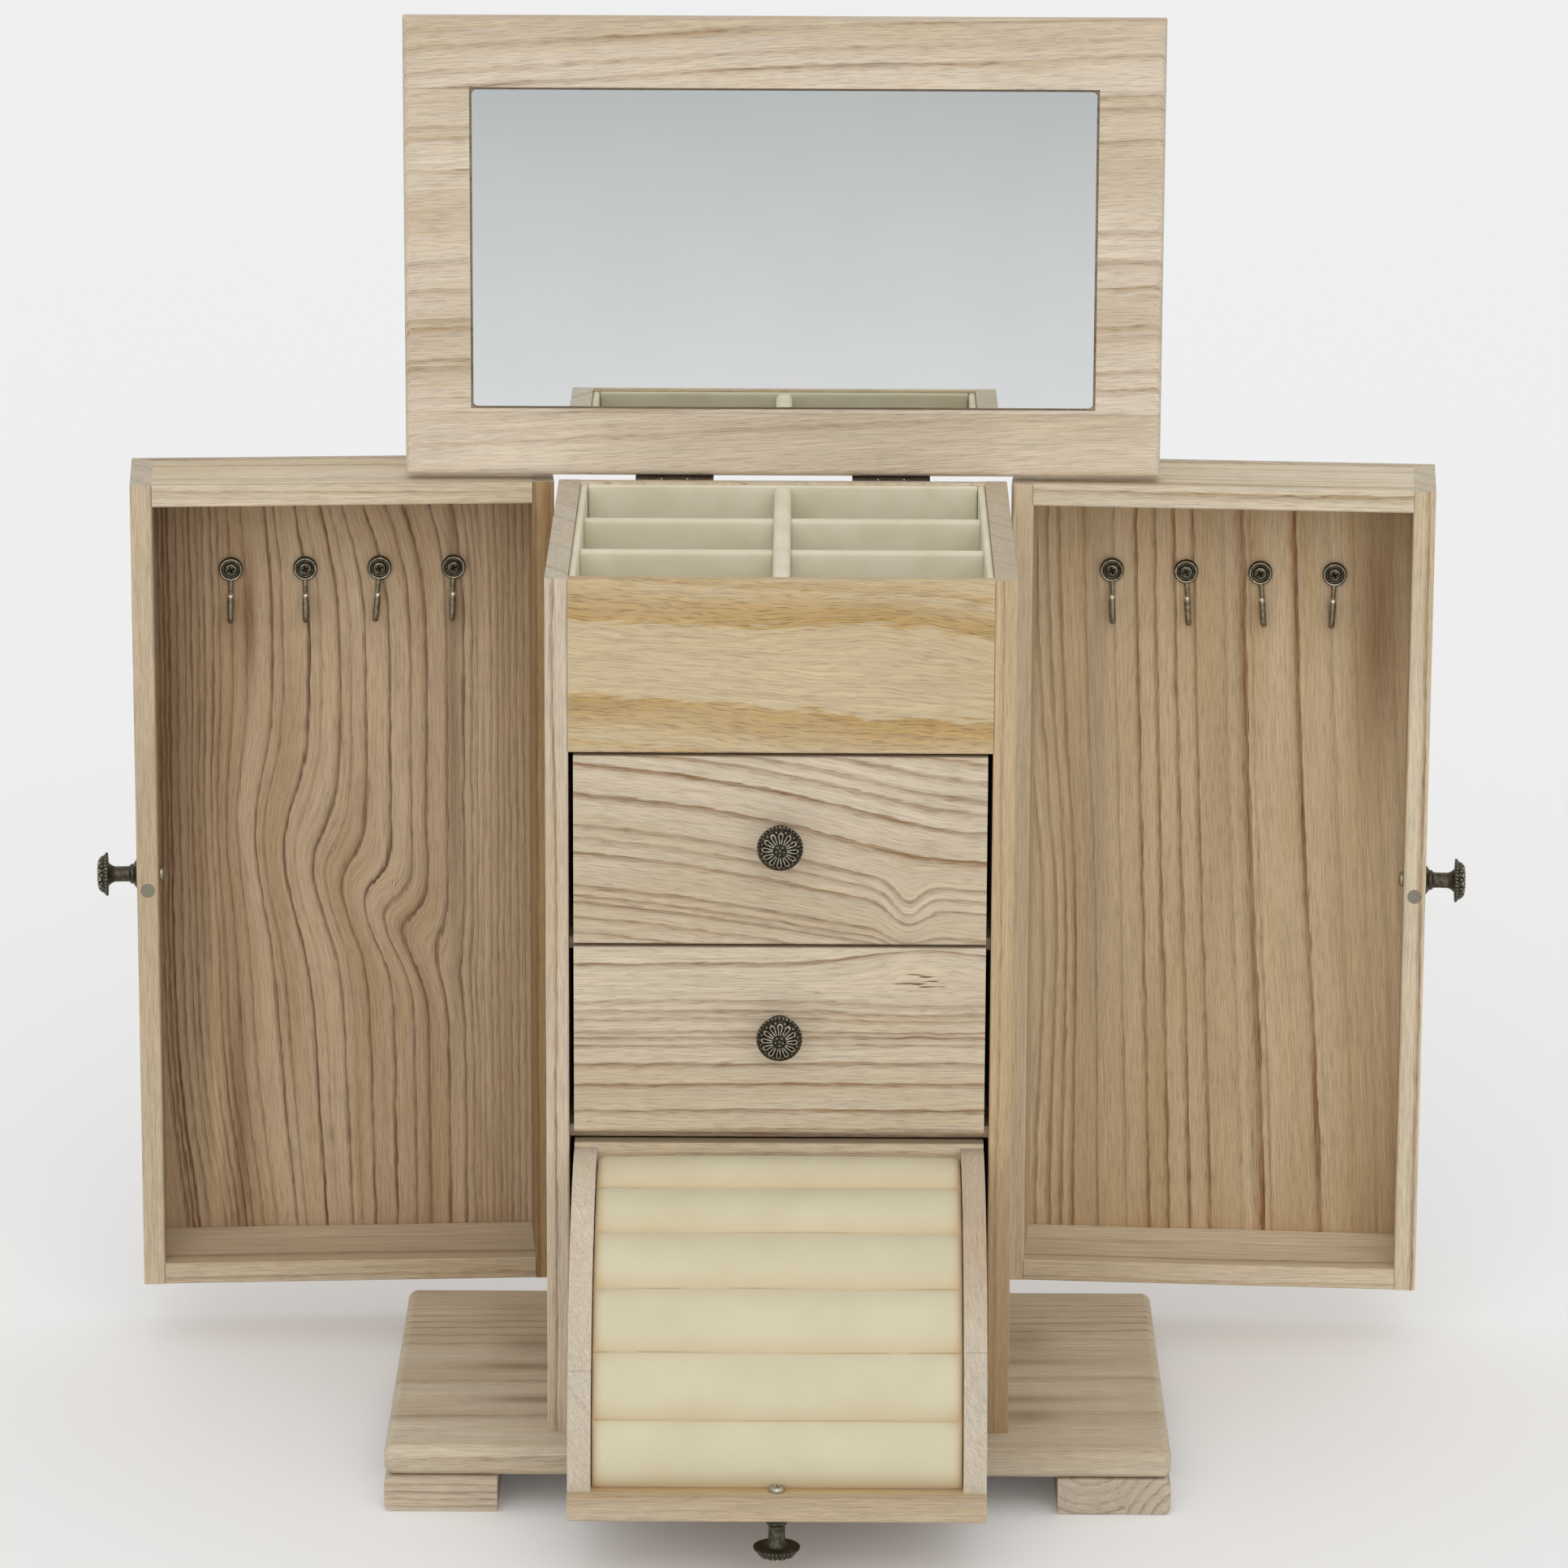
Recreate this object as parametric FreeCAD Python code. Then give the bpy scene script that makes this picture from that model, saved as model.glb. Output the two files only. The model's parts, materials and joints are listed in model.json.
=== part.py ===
import FreeCAD, Part
import math
import os

# Free-standing wooden jewelry box: a column on a wide base, with a mirrored lid, two swing-out side doors,
# two drawers and a quarter-round ring tray that tips out at the bottom.
# Millimetres. X runs to the right, Y to the back and Z up. Everything is laid out from the column's front
# face at Y = 0 and the floor at Z = 0, as the box stands open, and is centred on the origin at the end.

# Column
COLUMN_W = 184.0
COLUMN_D = 178.0
COLUMN_H = 350.0
SIDE_T = 9.0
BACK_T = 5.0
SHELF_T = 5.0
SHELF_SET_BACK = 1.0
FRONT_PANEL_T = 5.0
FRONT_PANEL_H = 69.6
FRONT_GAP = 1.5

# Base
BASE_LEDGE = 19.0
BASE_SIDE_LEDGE = 9.9
PLATE_T = 12.5
PLATE_ROUND = 4.0
FOOT_W = 45.0
FOOT_D = 45.0
FOOT_H = 14.5
FOOT_ROUND = 3.0

# Top compartment
LINER_T = 3.0
LINER_PAD_T = 2.0
LINER_DROP = 0.6
LONG_DIVIDER_T = 7.0
CROSS_DIVIDER_T = 6.0
DIVIDER_DROP = 2.0
CROSS_DIVIDERS = 2

# Lid
LID_SIDE_OVERHANG = 8.4
LID_FRONT_OVERHANG = 11.4
LID_T = 12.0
LID_ROUND = 3.0
LID_GAP = 0.5
LID_AXIS_DROP = 1.2
LID_OPEN = math.degrees(math.pi / 2)
MIRROR_W = 254.0
MIRROR_H = 131.0
MIRROR_T = 3.0
MIRROR_ROUND = 2.0
MIRROR_EDGE_GAP = 1.0
MIRROR_SINK = 0.4

# Doors
DOOR_DEPTH = 54.0
DOOR_FRONT_GAP = 4.0
DOOR_FLOOR_GAP = 4.3
DOOR_TOP_GAP = 1.5
DOOR_SIDE_GAP = 0.6
DOOR_RAIL_T = 9.0
DOOR_BACK_T = 5.0
DOOR_OPEN = 86.0

# Hooks on the door backs
HOOKS = 4
HOOK_PITCH = 31.0
HOOK_DROP = 46.5
HOOK_RING_R = 5.0
HOOK_RING_T = 2.8
HOOK_RING_ROUND = 0.9
HOOK_CUP_D = 1.0
HOOK_WIRE_R = 1.2
HOOK_STEM = 17.0
HOOK_BEND_R = 4.0
HOOK_PRONG = 8.5
HOOK_TIP_ROUND = 0.9
HOOK_SCREW_R = 1.1
HOOK_SCREW_HEAD_R = 3.0
HOOK_SCREW_HEAD_H = 1.5
HOOK_SCREW_HEAD_ROUND = 0.9
HOOK_SCREW_IN = 3.5

# Drawers
FRONT_T = 10.0
FRONT_SIDE_GAP = 2.0
DRAWER_FRONT_H = 76.0
DRAWER_BOX_DROP = 14.0
DRAWER_SIDE_T = 7.0
DRAWER_BOTTOM_T = 3.0
DRAWER_BACK_GAP = 5.0
DRAWER_BOX_INSET = 0.5
DRAWER_RUN_GAP = 0.3
LINING_T = 2.0

# Ring tray
TRAY_PIVOT_IN = 6.0
TRAY_FLOOR_GAP = 2.5
TRAY_RIM_DROP = 5.9
TRAY_SIDE_T = 9.0
TRAY_BOARD_T = 8.0
TRAY_BOARD_PAST = 1.6
TRAY_OPEN = math.degrees(math.pi / 2)
TRAY_PIN_R = 1.5
TRAY_PIN_IN = 12.0

# Ring rolls
ROLLS = 6
ROLL_VALLEY_IN = 6.2
ROLL_CREST = 4.6
ROLL_PAD_T = 22.0
ROLL_END_DRAW = 2.4
ROLL_END_ROUND = 6.0
ROLL_SIDE_GAP = 0.3

# Knobs and their screws
KNOB_L = 16.8
KNOB_FOOT_R = 6.1
KNOB_FOOT_LIP = 0.6
KNOB_FOOT_H = 3.6
KNOB_STEM_R = 3.25
KNOB_NECK_R = 5.0
KNOB_NECK_H = 2.6
KNOB_CAP_R = 9.0
KNOB_CAP_T = 4.4
KNOB_RIM_T = 0.7
KNOB_FACE_R = 6.5
KNOB_FACE_RISE = 0.6
KNOB_BULGE = 0.35
KNOB_RISE = 4.5
TRAY_KNOB_DROP = 7.8
SCREW_R = 1.6
SCREW_HEAD_R = 3.2
SCREW_HEAD_H = 2.2
SCREW_HEAD_ROUND = 1.2
SCREW_IN_KNOB = 5.0

# Hinges
HINGE_L = 32.0
HINGE_LEAF_W = 8.5
HINGE_LEAF_T = 0.8
HINGE_R = 1.7
HINGE_PIN_R = 0.8
KNUCKLE_GAP = 0.3
LID_HINGE_X = 44.5
DOOR_HINGE_IN = 45.0

# Magnets
MAGNET_R = 3.0
MAGNET_T = 3.0

# Fits and eased edges
PIN_CLEAR = 0.05
SEAT_CLEAR = 0.02
SCREW_CLEAR = 0.2
EDGE_EASE = 0.6

# Levels and places that follow from the sizes above
BASE_TOP = FOOT_H + PLATE_T
COLUMN_TOP = BASE_TOP + COLUMN_H
INNER_W = COLUMN_W - 2 * SIDE_T
INNER_BACK = COLUMN_D - BACK_T
CLOSED_W = COLUMN_W + 2 * (DOOR_SIDE_GAP + DOOR_DEPTH)
BASE_W = CLOSED_W + 2 * BASE_SIDE_LEDGE
LID_W = CLOSED_W + 2 * LID_SIDE_OVERHANG
LID_D = COLUMN_D + LID_FRONT_OVERHANG
FRONT_W = INNER_W - 2 * FRONT_SIDE_GAP
FRONT_PANEL_BOTTOM = COLUMN_TOP - FRONT_PANEL_H
UPPER_DRAWER_Z = FRONT_PANEL_BOTTOM - FRONT_GAP - DRAWER_FRONT_H
LOWER_DRAWER_Z = UPPER_DRAWER_Z - FRONT_GAP - DRAWER_FRONT_H
DRAWER_BOX_H = DRAWER_FRONT_H - DRAWER_BOX_DROP
TRAY_TOP = LOWER_DRAWER_Z - FRONT_GAP
TRAY_PIVOT_Y = TRAY_PIVOT_IN
TRAY_PIVOT_Z = BASE_TOP + TRAY_FLOOR_GAP + TRAY_PIVOT_IN
TRAY_R = TRAY_TOP - TRAY_PIVOT_Z - TRAY_RIM_DROP
TRAY_BOARD_Z = BASE_TOP + TRAY_FLOOR_GAP
TRAY_BOARD_TOP = TRAY_BOARD_Z + TRAY_BOARD_T
TRAY_KNOB_Z = TRAY_TOP - TRAY_KNOB_DROP
DOOR_Z = BASE_TOP + DOOR_FLOOR_GAP
DOOR_TOP = COLUMN_TOP - DOOR_TOP_GAP
DOOR_MID_Z = (DOOR_Z + DOOR_TOP) / 2
DOOR_RIM_X = -(COLUMN_W / 2 + DOOR_SIDE_GAP)
DOOR_BACK_X = DOOR_RIM_X - DOOR_DEPTH
DOOR_FLOOR_X = DOOR_BACK_X + DOOR_BACK_T
DOOR_FRONT_Y = DOOR_FRONT_GAP
DOOR_AXIS_X = -(COLUMN_W + DOOR_SIDE_GAP) / 2
HINGE_Y = COLUMN_D + HINGE_R
LID_AXIS_Z = COLUMN_TOP + LID_GAP / 2 - LID_AXIS_DROP
MAGNET_Y = DOOR_FRONT_Y + DOOR_RAIL_T / 2
COMPARTMENT_FLOOR_TOP = FRONT_PANEL_BOTTOM + SHELF_T
LINER_TOP = COLUMN_TOP - LINER_DROP

ORIGIN = FreeCAD.Vector(0, 0, 0)
AXIS_X = FreeCAD.Vector(1, 0, 0)
AXIS_Y = FreeCAD.Vector(0, 1, 0)
AXIS_Z = FreeCAD.Vector(0, 0, 1)


def box(x, y, z):
    """A block from three (low, high) pairs."""
    corner = FreeCAD.Vector(x[0], y[0], z[0])
    return Part.makeBox(x[1] - x[0], y[1] - y[0], z[1] - z[0], corner)


def edges_along(shape, axis):
    """The straight edges of a shape that run along an axis."""
    chosen = []
    for edge in shape.Edges:
        run = edge.Vertexes[-1].Point.sub(edge.Vertexes[0].Point)
        if run.Length > 0 and abs(abs(run.normalize().dot(axis)) - 1) < 1e-6:
            chosen.append(edge)
    return chosen


def board(x, y, z, grain):
    """A sawn board whose long edges, along the grain, are eased."""
    blank = box(x, y, z)
    return blank.makeChamfer(EDGE_EASE, edges_along(blank, grain))


def rod(radius, length, start, direction):
    """A round rod from a start point."""
    return Part.makeCylinder(radius, length, start, direction)


def mirrored(shape):
    """The same piece on the other side of the column's middle plane."""
    return shape.mirror(ORIGIN, AXIS_X)


def group(shapes):
    """Several separate solids that are one node."""
    return Part.makeCompound(shapes)


def line(a, b):
    """A straight edge."""
    return Part.LineSegment(a, b).toShape()


def turned_profile(points):
    """A solid turned about Z from straight and three-point-arc runs of (radius, height)."""
    edges = []
    last = points[0]
    for step in points[1:]:
        if len(step) == 2:
            ends = [FreeCAD.Vector(last[0], 0, last[1]), FreeCAD.Vector(step[0], 0, step[1])]
            edges.append(Part.LineSegment(*ends).toShape())
            last = step
        else:
            through, end = step[:2], step[2:]
            bend = [FreeCAD.Vector(p[0], 0, p[1]) for p in (last, through, end)]
            edges.append(Part.Arc(*bend).toShape())
            last = end
    face = Part.Face(Part.Wire(edges))
    return face.revolve(ORIGIN, AXIS_Z, 360)


def base_plate():
    """Plate with rounded corners and rounded top and bottom edges."""
    half = BASE_W / 2
    blank = box((-half, half), (-BASE_LEDGE, COLUMN_D), (FOOT_H, BASE_TOP))
    blank = blank.makeFillet(PLATE_ROUND, edges_along(blank, AXIS_Z))
    level = [e for e in blank.Edges if abs(e.BoundBox.ZLength) < 1e-6]
    return blank.makeFillet(PLATE_ROUND, level)


def base_feet():
    """Four blocks under the plate's corners, rounded like the plate on their outer ends."""
    feet = []
    for x0 in (-BASE_W / 2, BASE_W / 2 - FOOT_W):
        for y0 in (-BASE_LEDGE, COLUMN_D - FOOT_D):
            foot = box((x0, x0 + FOOT_W), (y0, y0 + FOOT_D), (0, FOOT_H))
            outer_x = x0 if x0 < 0 else x0 + FOOT_W
            outer = [e for e in edges_along(foot, AXIS_Y) if abs(e.Vertexes[0].X - outer_x) < 1e-6]
            feet.append(foot.makeFillet(FOOT_ROUND, outer))
    return group(feet)


def side_panel():
    """Left side panel, bored for the tray's pivot pin and the door's magnet."""
    panel = board((-COLUMN_W / 2, -INNER_W / 2), (0, COLUMN_D), (BASE_TOP, COLUMN_TOP), AXIS_Z)
    pin_at = FreeCAD.Vector(-COLUMN_W / 2, TRAY_PIVOT_Y, TRAY_PIVOT_Z)
    panel = panel.cut(rod(TRAY_PIN_R + SEAT_CLEAR, SIDE_T, pin_at, AXIS_X))
    magnet_at = FreeCAD.Vector(-COLUMN_W / 2, MAGNET_Y, DOOR_MID_Z)
    return panel.cut(rod(MAGNET_R + SEAT_CLEAR, MAGNET_T, magnet_at, AXIS_X))


def case_magnet():
    """Disc set flush in the left side panel."""
    return rod(MAGNET_R, MAGNET_T, FreeCAD.Vector(-COLUMN_W / 2, MAGNET_Y, DOOR_MID_Z), AXIS_X)


def tray_pivot_pin():
    """Left pin, from the side panel's outer face into the end of the tray's front panel."""
    start = FreeCAD.Vector(-COLUMN_W / 2, TRAY_PIVOT_Y, TRAY_PIVOT_Z)
    return rod(TRAY_PIN_R, SIDE_T + FRONT_SIDE_GAP + TRAY_PIN_IN, start, AXIS_X)


def across(y, z):
    """A board between the side panels."""
    return board((-INNER_W / 2, INNER_W / 2), y, z, AXIS_X)


def compartment_liner():
    """Velvet-covered walls on the compartment's four sides, and the pad on its floor."""
    half = INNER_W / 2
    front = FRONT_PANEL_T
    back = INNER_BACK
    height = (COMPARTMENT_FLOOR_TOP, LINER_TOP)
    inner_x = (-half + LINER_T, half - LINER_T)
    inner_y = (front + LINER_T, back - LINER_T)
    return group([
        box((-half, -half + LINER_T), (front, back), height),
        box((half - LINER_T, half), (front, back), height),
        box(inner_x, (front, front + LINER_T), height),
        box(inner_x, (back - LINER_T, back), height),
        box(inner_x, inner_y, (COMPARTMENT_FLOOR_TOP, COMPARTMENT_FLOOR_TOP + LINER_PAD_T)),
    ])


def divider_rows():
    """Front faces of the cross dividers, which share the compartment's depth evenly."""
    front = FRONT_PANEL_T + LINER_T
    clear = INNER_BACK - LINER_T - front - CROSS_DIVIDERS * CROSS_DIVIDER_T
    row = clear / (CROSS_DIVIDERS + 1)
    return [front + row + i * (row + CROSS_DIVIDER_T) for i in range(CROSS_DIVIDERS)]


def compartment_dividers():
    """One divider from front to back, and cross dividers on both sides of it."""
    half = INNER_W / 2 - LINER_T
    post = LONG_DIVIDER_T / 2
    z = (COMPARTMENT_FLOOR_TOP + LINER_PAD_T, LINER_TOP - DIVIDER_DROP)
    long_z = (z[0], LINER_TOP)
    pieces = [box((-post, post), (FRONT_PANEL_T + LINER_T, INNER_BACK - LINER_T), long_z)]
    for y0 in divider_rows():
        for x in ((-half, -post), (post, half)):
            pieces.append(box(x, (y0, y0 + CROSS_DIVIDER_T), z))
    return group(pieces)


def knuckles(moving):
    """Barrel of one hinge leaf along X: the middle third for the moving leaf, the outer thirds for the other."""
    third = HINGE_L / 3
    spans = [(-third / 2 + KNUCKLE_GAP / 2, third / 2 - KNUCKLE_GAP / 2)]
    if not moving:
        spans = [(-HINGE_L / 2, -third / 2 - KNUCKLE_GAP / 2), (third / 2 + KNUCKLE_GAP / 2, HINGE_L / 2)]
    return spans


def hinge_leaf(moving):
    """Butt hinge laid flat on a wall at Y = -HINGE_R: the fixed leaf hangs down, the moving one stands up."""
    up = 1 if moving else -1
    flat = (-HINGE_R, -HINGE_R + HINGE_LEAF_T)
    inner = HINGE_R + KNUCKLE_GAP
    plate_z = sorted((up * inner, up * (HINGE_R + HINGE_LEAF_W)))
    leaf = box((-HINGE_L / 2, HINGE_L / 2), flat, plate_z)
    bore_r = HINGE_PIN_R + (PIN_CLEAR if moving else SEAT_CLEAR)
    for x0, x1 in knuckles(moving):
        strap = box((x0, x1), flat, sorted((0, up * inner)))
        barrel = rod(HINGE_R, x1 - x0, FreeCAD.Vector(x0, 0, 0), AXIS_X)
        leaf = leaf.fuse(strap).fuse(barrel)
    bore = rod(bore_r, HINGE_L, FreeCAD.Vector(-HINGE_L / 2, 0, 0), AXIS_X)
    return leaf.cut(bore).removeSplitter()


def hinge_pin():
    """Pin through the three knuckles."""
    return rod(HINGE_PIN_R, HINGE_L, FreeCAD.Vector(-HINGE_L / 2, 0, 0), AXIS_X)


def at_lid_hinges(shape):
    """Copies of a hinge piece at the lid's two hinges."""
    places = []
    for x in (-LID_HINGE_X, LID_HINGE_X):
        copy = shape.copy()
        copy.translate(FreeCAD.Vector(x, HINGE_Y, LID_AXIS_Z))
        places.append(copy)
    return places


def at_door_hinges(shape):
    """Copies of a hinge piece at the left door's two hinges, turned so that the barrel is upright."""
    places = []
    for z in (DOOR_Z + DOOR_HINGE_IN, DOOR_TOP - DOOR_HINGE_IN):
        copy = shape.copy()
        copy.rotate(ORIGIN, AXIS_Y, math.degrees(-math.pi / 2))
        copy.translate(FreeCAD.Vector(DOOR_AXIS_X, HINGE_Y, z))
        places.append(copy)
    return places


def both_doors(shapes):
    """Pieces of the left door's side and the same on the right."""
    return shapes + [mirrored(s) for s in shapes]


def opened_lid(shape):
    """The lid's pieces are made as it lies closed, and turned up about its hinges."""
    turned = shape.copy()
    turned.rotate(FreeCAD.Vector(0, HINGE_Y, LID_AXIS_Z), AXIS_X, -LID_OPEN)
    return turned


def opened_door(shape):
    """The left door's pieces are made as it lies closed, and swung out about its hinges."""
    turned = shape.copy()
    turned.rotate(FreeCAD.Vector(DOOR_AXIS_X, HINGE_Y, 0), AXIS_Z, -DOOR_OPEN)
    return turned


def opened_tray(shape):
    """The ring tray's pieces are made as it lies closed, and tipped forward about its pivot pins."""
    turned = shape.copy()
    turned.rotate(FreeCAD.Vector(0, TRAY_PIVOT_Y, TRAY_PIVOT_Z), AXIS_X, TRAY_OPEN)
    return turned


def mirror_place():
    """Centre of the mirror on the closed lid's underside."""
    return FreeCAD.Vector(0, COLUMN_D - LID_D / 2, COLUMN_TOP + LID_GAP)


def lid_panel():
    """Board with rounded edges and a recess for the mirror in its underside."""
    low = COLUMN_TOP + LID_GAP
    blank = box((-LID_W / 2, LID_W / 2), (COLUMN_D - LID_D, COLUMN_D), (low, low + LID_T))
    rim = edges_along(blank, AXIS_X) + edges_along(blank, AXIS_Y)
    blank = blank.makeFillet(LID_ROUND, rim)
    middle = mirror_place()
    half_w = MIRROR_W / 2 + MIRROR_EDGE_GAP
    half_h = MIRROR_H / 2 + MIRROR_EDGE_GAP
    recess = box((-half_w, half_w), (middle.y - half_h, middle.y + half_h), (low, low + MIRROR_T + MIRROR_SINK))
    return blank.cut(recess)


def lid_mirror():
    """Glass with rounded corners, seated in the recess a little below the board's face."""
    middle = mirror_place()
    low = middle.z + MIRROR_SINK
    half_w = MIRROR_W / 2
    half_h = MIRROR_H / 2
    glass = box((-half_w, half_w), (middle.y - half_h, middle.y + half_h), (low, low + MIRROR_T))
    return glass.makeFillet(MIRROR_ROUND, edges_along(glass, AXIS_Z))


def midway(a, b, out):
    """Point halfway between two profile points, pushed out (or in, if negative) along both directions."""
    return ((a[0] + b[0]) / 2 + out, (a[1] + b[1]) / 2 + out)


def knob():
    """Turned knob on Z: flared foot, waisted stem and a cap with a sharp rim and a domed face."""
    rim_z = KNOB_L - KNOB_CAP_T
    lip = (KNOB_FOOT_R, KNOB_FOOT_LIP)
    waist = (KNOB_STEM_R, KNOB_FOOT_H)
    neck = (KNOB_STEM_R, rim_z - KNOB_NECK_H)
    under_cap = (KNOB_NECK_R, rim_z)
    rim = (KNOB_CAP_R, rim_z + KNOB_RIM_T)
    face = (KNOB_FACE_R, KNOB_L - KNOB_FACE_RISE)
    crown = (0, KNOB_L)
    foot_curve = midway(lip, waist, -KNOB_BULGE)
    neck_curve = ((neck[0] + under_cap[0]) / 2 - KNOB_BULGE, (neck[1] + under_cap[1]) / 2 + KNOB_BULGE)
    side_curve = midway(rim, face, KNOB_BULGE)
    dome_r = (KNOB_FACE_R ** 2 + KNOB_FACE_RISE ** 2) / (2 * KNOB_FACE_RISE)
    dome_curve = (KNOB_FACE_R / 2, KNOB_L - dome_r + math.sqrt(dome_r ** 2 - (KNOB_FACE_R / 2) ** 2))
    solid = turned_profile([
        (0, 0), (KNOB_FOOT_R, 0), lip, foot_curve + waist, neck, neck_curve + under_cap,
        (KNOB_CAP_R, rim_z), rim, side_curve + face, dome_curve + crown, (0, 0)])
    return solid.cut(rod(SCREW_R + SEAT_CLEAR, SCREW_IN_KNOB, ORIGIN, AXIS_Z))


def facing_front(shape, place):
    """A piece made on Z, turned to point forward and moved to its place."""
    turned = shape.copy()
    turned.rotate(ORIGIN, AXIS_X, math.degrees(math.pi / 2))
    turned.translate(place)
    return turned


def knob_screw(board_t):
    """Pan-head screw on Z, from inside a board into the knob on its face at Z = 0."""
    under = FreeCAD.Vector(0, 0, -board_t)
    head = rod(SCREW_HEAD_R, SCREW_HEAD_H, under, AXIS_Z.negative())
    head = head.makeFillet(SCREW_HEAD_ROUND, [e for e in head.Edges if e.BoundBox.ZMax < under.z])
    return head.fuse(rod(SCREW_R, board_t + SCREW_IN_KNOB, under, AXIS_Z))


def screw_hole(place, board_t):
    """Clearance hole for a knob's screw, through a board whose face is at the place."""
    return rod(SCREW_R + SCREW_CLEAR, board_t, place, AXIS_Y)


def door_knob_place():
    """Foot of the closed left door's knob, in the middle of the knob stile's front face."""
    return FreeCAD.Vector(DOOR_RIM_X - DOOR_DEPTH / 2, DOOR_FRONT_Y, DOOR_MID_Z)


def door_magnet():
    """Disc set flush in the rim of the knob stile."""
    return rod(MAGNET_R, MAGNET_T, FreeCAD.Vector(DOOR_RIM_X, MAGNET_Y, DOOR_MID_Z), AXIS_X.negative())


def door_knob_stile():
    """Upright at the door's free edge, bored for the knob's screw and the magnet."""
    y = (DOOR_FRONT_Y, DOOR_FRONT_Y + DOOR_RAIL_T)
    stile = board((DOOR_FLOOR_X, DOOR_RIM_X), y, (DOOR_Z, DOOR_TOP), AXIS_Z)
    stile = stile.cut(screw_hole(door_knob_place(), DOOR_RAIL_T))
    magnet_at = FreeCAD.Vector(DOOR_RIM_X, MAGNET_Y, DOOR_MID_Z)
    return stile.cut(rod(MAGNET_R + SEAT_CLEAR, MAGNET_T, magnet_at, AXIS_X.negative()))


def door_hinge_stile():
    """Upright at the door's hinged edge."""
    y = (COLUMN_D - DOOR_RAIL_T, COLUMN_D)
    return board((DOOR_FLOOR_X, DOOR_RIM_X), y, (DOOR_Z, DOOR_TOP), AXIS_Z)


def door_rail(low):
    """Level board between the two stiles."""
    y = (DOOR_FRONT_Y + DOOR_RAIL_T, COLUMN_D - DOOR_RAIL_T)
    return board((DOOR_FLOOR_X, DOOR_RIM_X), y, (low, low + DOOR_RAIL_T), AXIS_Y)


def hook_places():
    """Screw points of the hooks on the closed left door's back panel."""
    middle_y = (DOOR_FRONT_Y + COLUMN_D) / 2
    first = middle_y - HOOK_PITCH * (HOOKS - 1) / 2
    z = DOOR_TOP - HOOK_DROP
    return [FreeCAD.Vector(DOOR_FLOOR_X, first + i * HOOK_PITCH, z) for i in range(HOOKS)]


def door_back():
    """Panel behind the frame, with a blind hole for each hook's screw."""
    panel = box((DOOR_BACK_X, DOOR_FLOOR_X), (DOOR_FRONT_Y, COLUMN_D), (DOOR_Z, DOOR_TOP))
    for place in hook_places():
        panel = panel.cut(rod(HOOK_SCREW_R + SEAT_CLEAR, HOOK_SCREW_IN, place, AXIS_X.negative()))
    return panel


def hook():
    """Cupped ring head, stem and upturned prong of one hook, on a wall at X = 0 and standing out along X."""
    ring = rod(HOOK_RING_R, HOOK_RING_T, ORIGIN, AXIS_X)
    ring = ring.makeFillet(HOOK_RING_ROUND, [e for e in ring.Edges if e.BoundBox.XMin > HOOK_RING_T / 2])
    stem_x = HOOK_RING_T / 2
    prong_x = stem_x + 2 * HOOK_BEND_R
    top = FreeCAD.Vector(stem_x, 0, 0)
    stem_end = FreeCAD.Vector(stem_x, 0, -HOOK_STEM)
    lowest = FreeCAD.Vector(stem_x + HOOK_BEND_R, 0, -HOOK_STEM - HOOK_BEND_R)
    prong_start = FreeCAD.Vector(prong_x, 0, -HOOK_STEM)
    prong_end = FreeCAD.Vector(prong_x, 0, HOOK_PRONG - HOOK_STEM)
    bend = Part.Arc(stem_end, lowest, prong_start).toShape()
    path = Part.Wire([line(top, stem_end), bend, line(prong_start, prong_end)])
    section = Part.Wire([Part.makeCircle(HOOK_WIRE_R, top, AXIS_Z)])
    wire = path.makePipeShell([section], True, False)
    tip = [e for e in wire.Edges if e.BoundBox.XMin > lowest.x and e.BoundBox.ZLength < HOOK_WIRE_R / 2]
    tip = [e for e in tip if e.BoundBox.ZMin > prong_end.z - HOOK_WIRE_R / 2]
    wire = wire.makeFillet(HOOK_TIP_ROUND, tip)
    cup = rod(HOOK_SCREW_HEAD_R + SCREW_CLEAR, HOOK_CUP_D, FreeCAD.Vector(HOOK_RING_T - HOOK_CUP_D, 0, 0), AXIS_X)
    bore = rod(HOOK_SCREW_R + SEAT_CLEAR, HOOK_RING_T, ORIGIN, AXIS_X)
    return ring.fuse(wire).cut(cup).cut(bore)


def hook_screw():
    """Pan-head screw seated in a hook's cup, through its ring into the wall at X = 0."""
    seat = HOOK_RING_T - HOOK_CUP_D
    head = rod(HOOK_SCREW_HEAD_R, HOOK_SCREW_HEAD_H, FreeCAD.Vector(seat, 0, 0), AXIS_X)
    head = head.makeFillet(HOOK_SCREW_HEAD_ROUND, [e for e in head.Edges if e.BoundBox.XMin > seat])
    shank = rod(HOOK_SCREW_R, HOOK_SCREW_IN + seat, FreeCAD.Vector(-HOOK_SCREW_IN, 0, 0), AXIS_X)
    return head.fuse(shank)


def door_hooks():
    """The hooks and their screws on the closed left door."""
    pieces = []
    for place in hook_places():
        for piece in (hook(), hook_screw()):
            piece.translate(place)
            pieces.append(piece)
    return pieces


def left_door():
    """Every piece of the left door by the end of its name, swung open."""
    place = door_knob_place()
    closed = {
        "top_rail": door_rail(DOOR_TOP - DOOR_RAIL_T),
        "bottom_rail": door_rail(DOOR_Z),
        "hinge_stile": door_hinge_stile(),
        "knob_stile": door_knob_stile(),
        "back_panel": door_back(),
        "hooks": group(door_hooks()),
        "knob": facing_front(knob(), place),
        "knob_screw": facing_front(knob_screw(DOOR_RAIL_T), place),
        "magnet": door_magnet(),
        "hinge_leaves": group(at_door_hinges(hinge_leaf(True))),
    }
    return {name: opened_door(shape) for name, shape in closed.items()}


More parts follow.
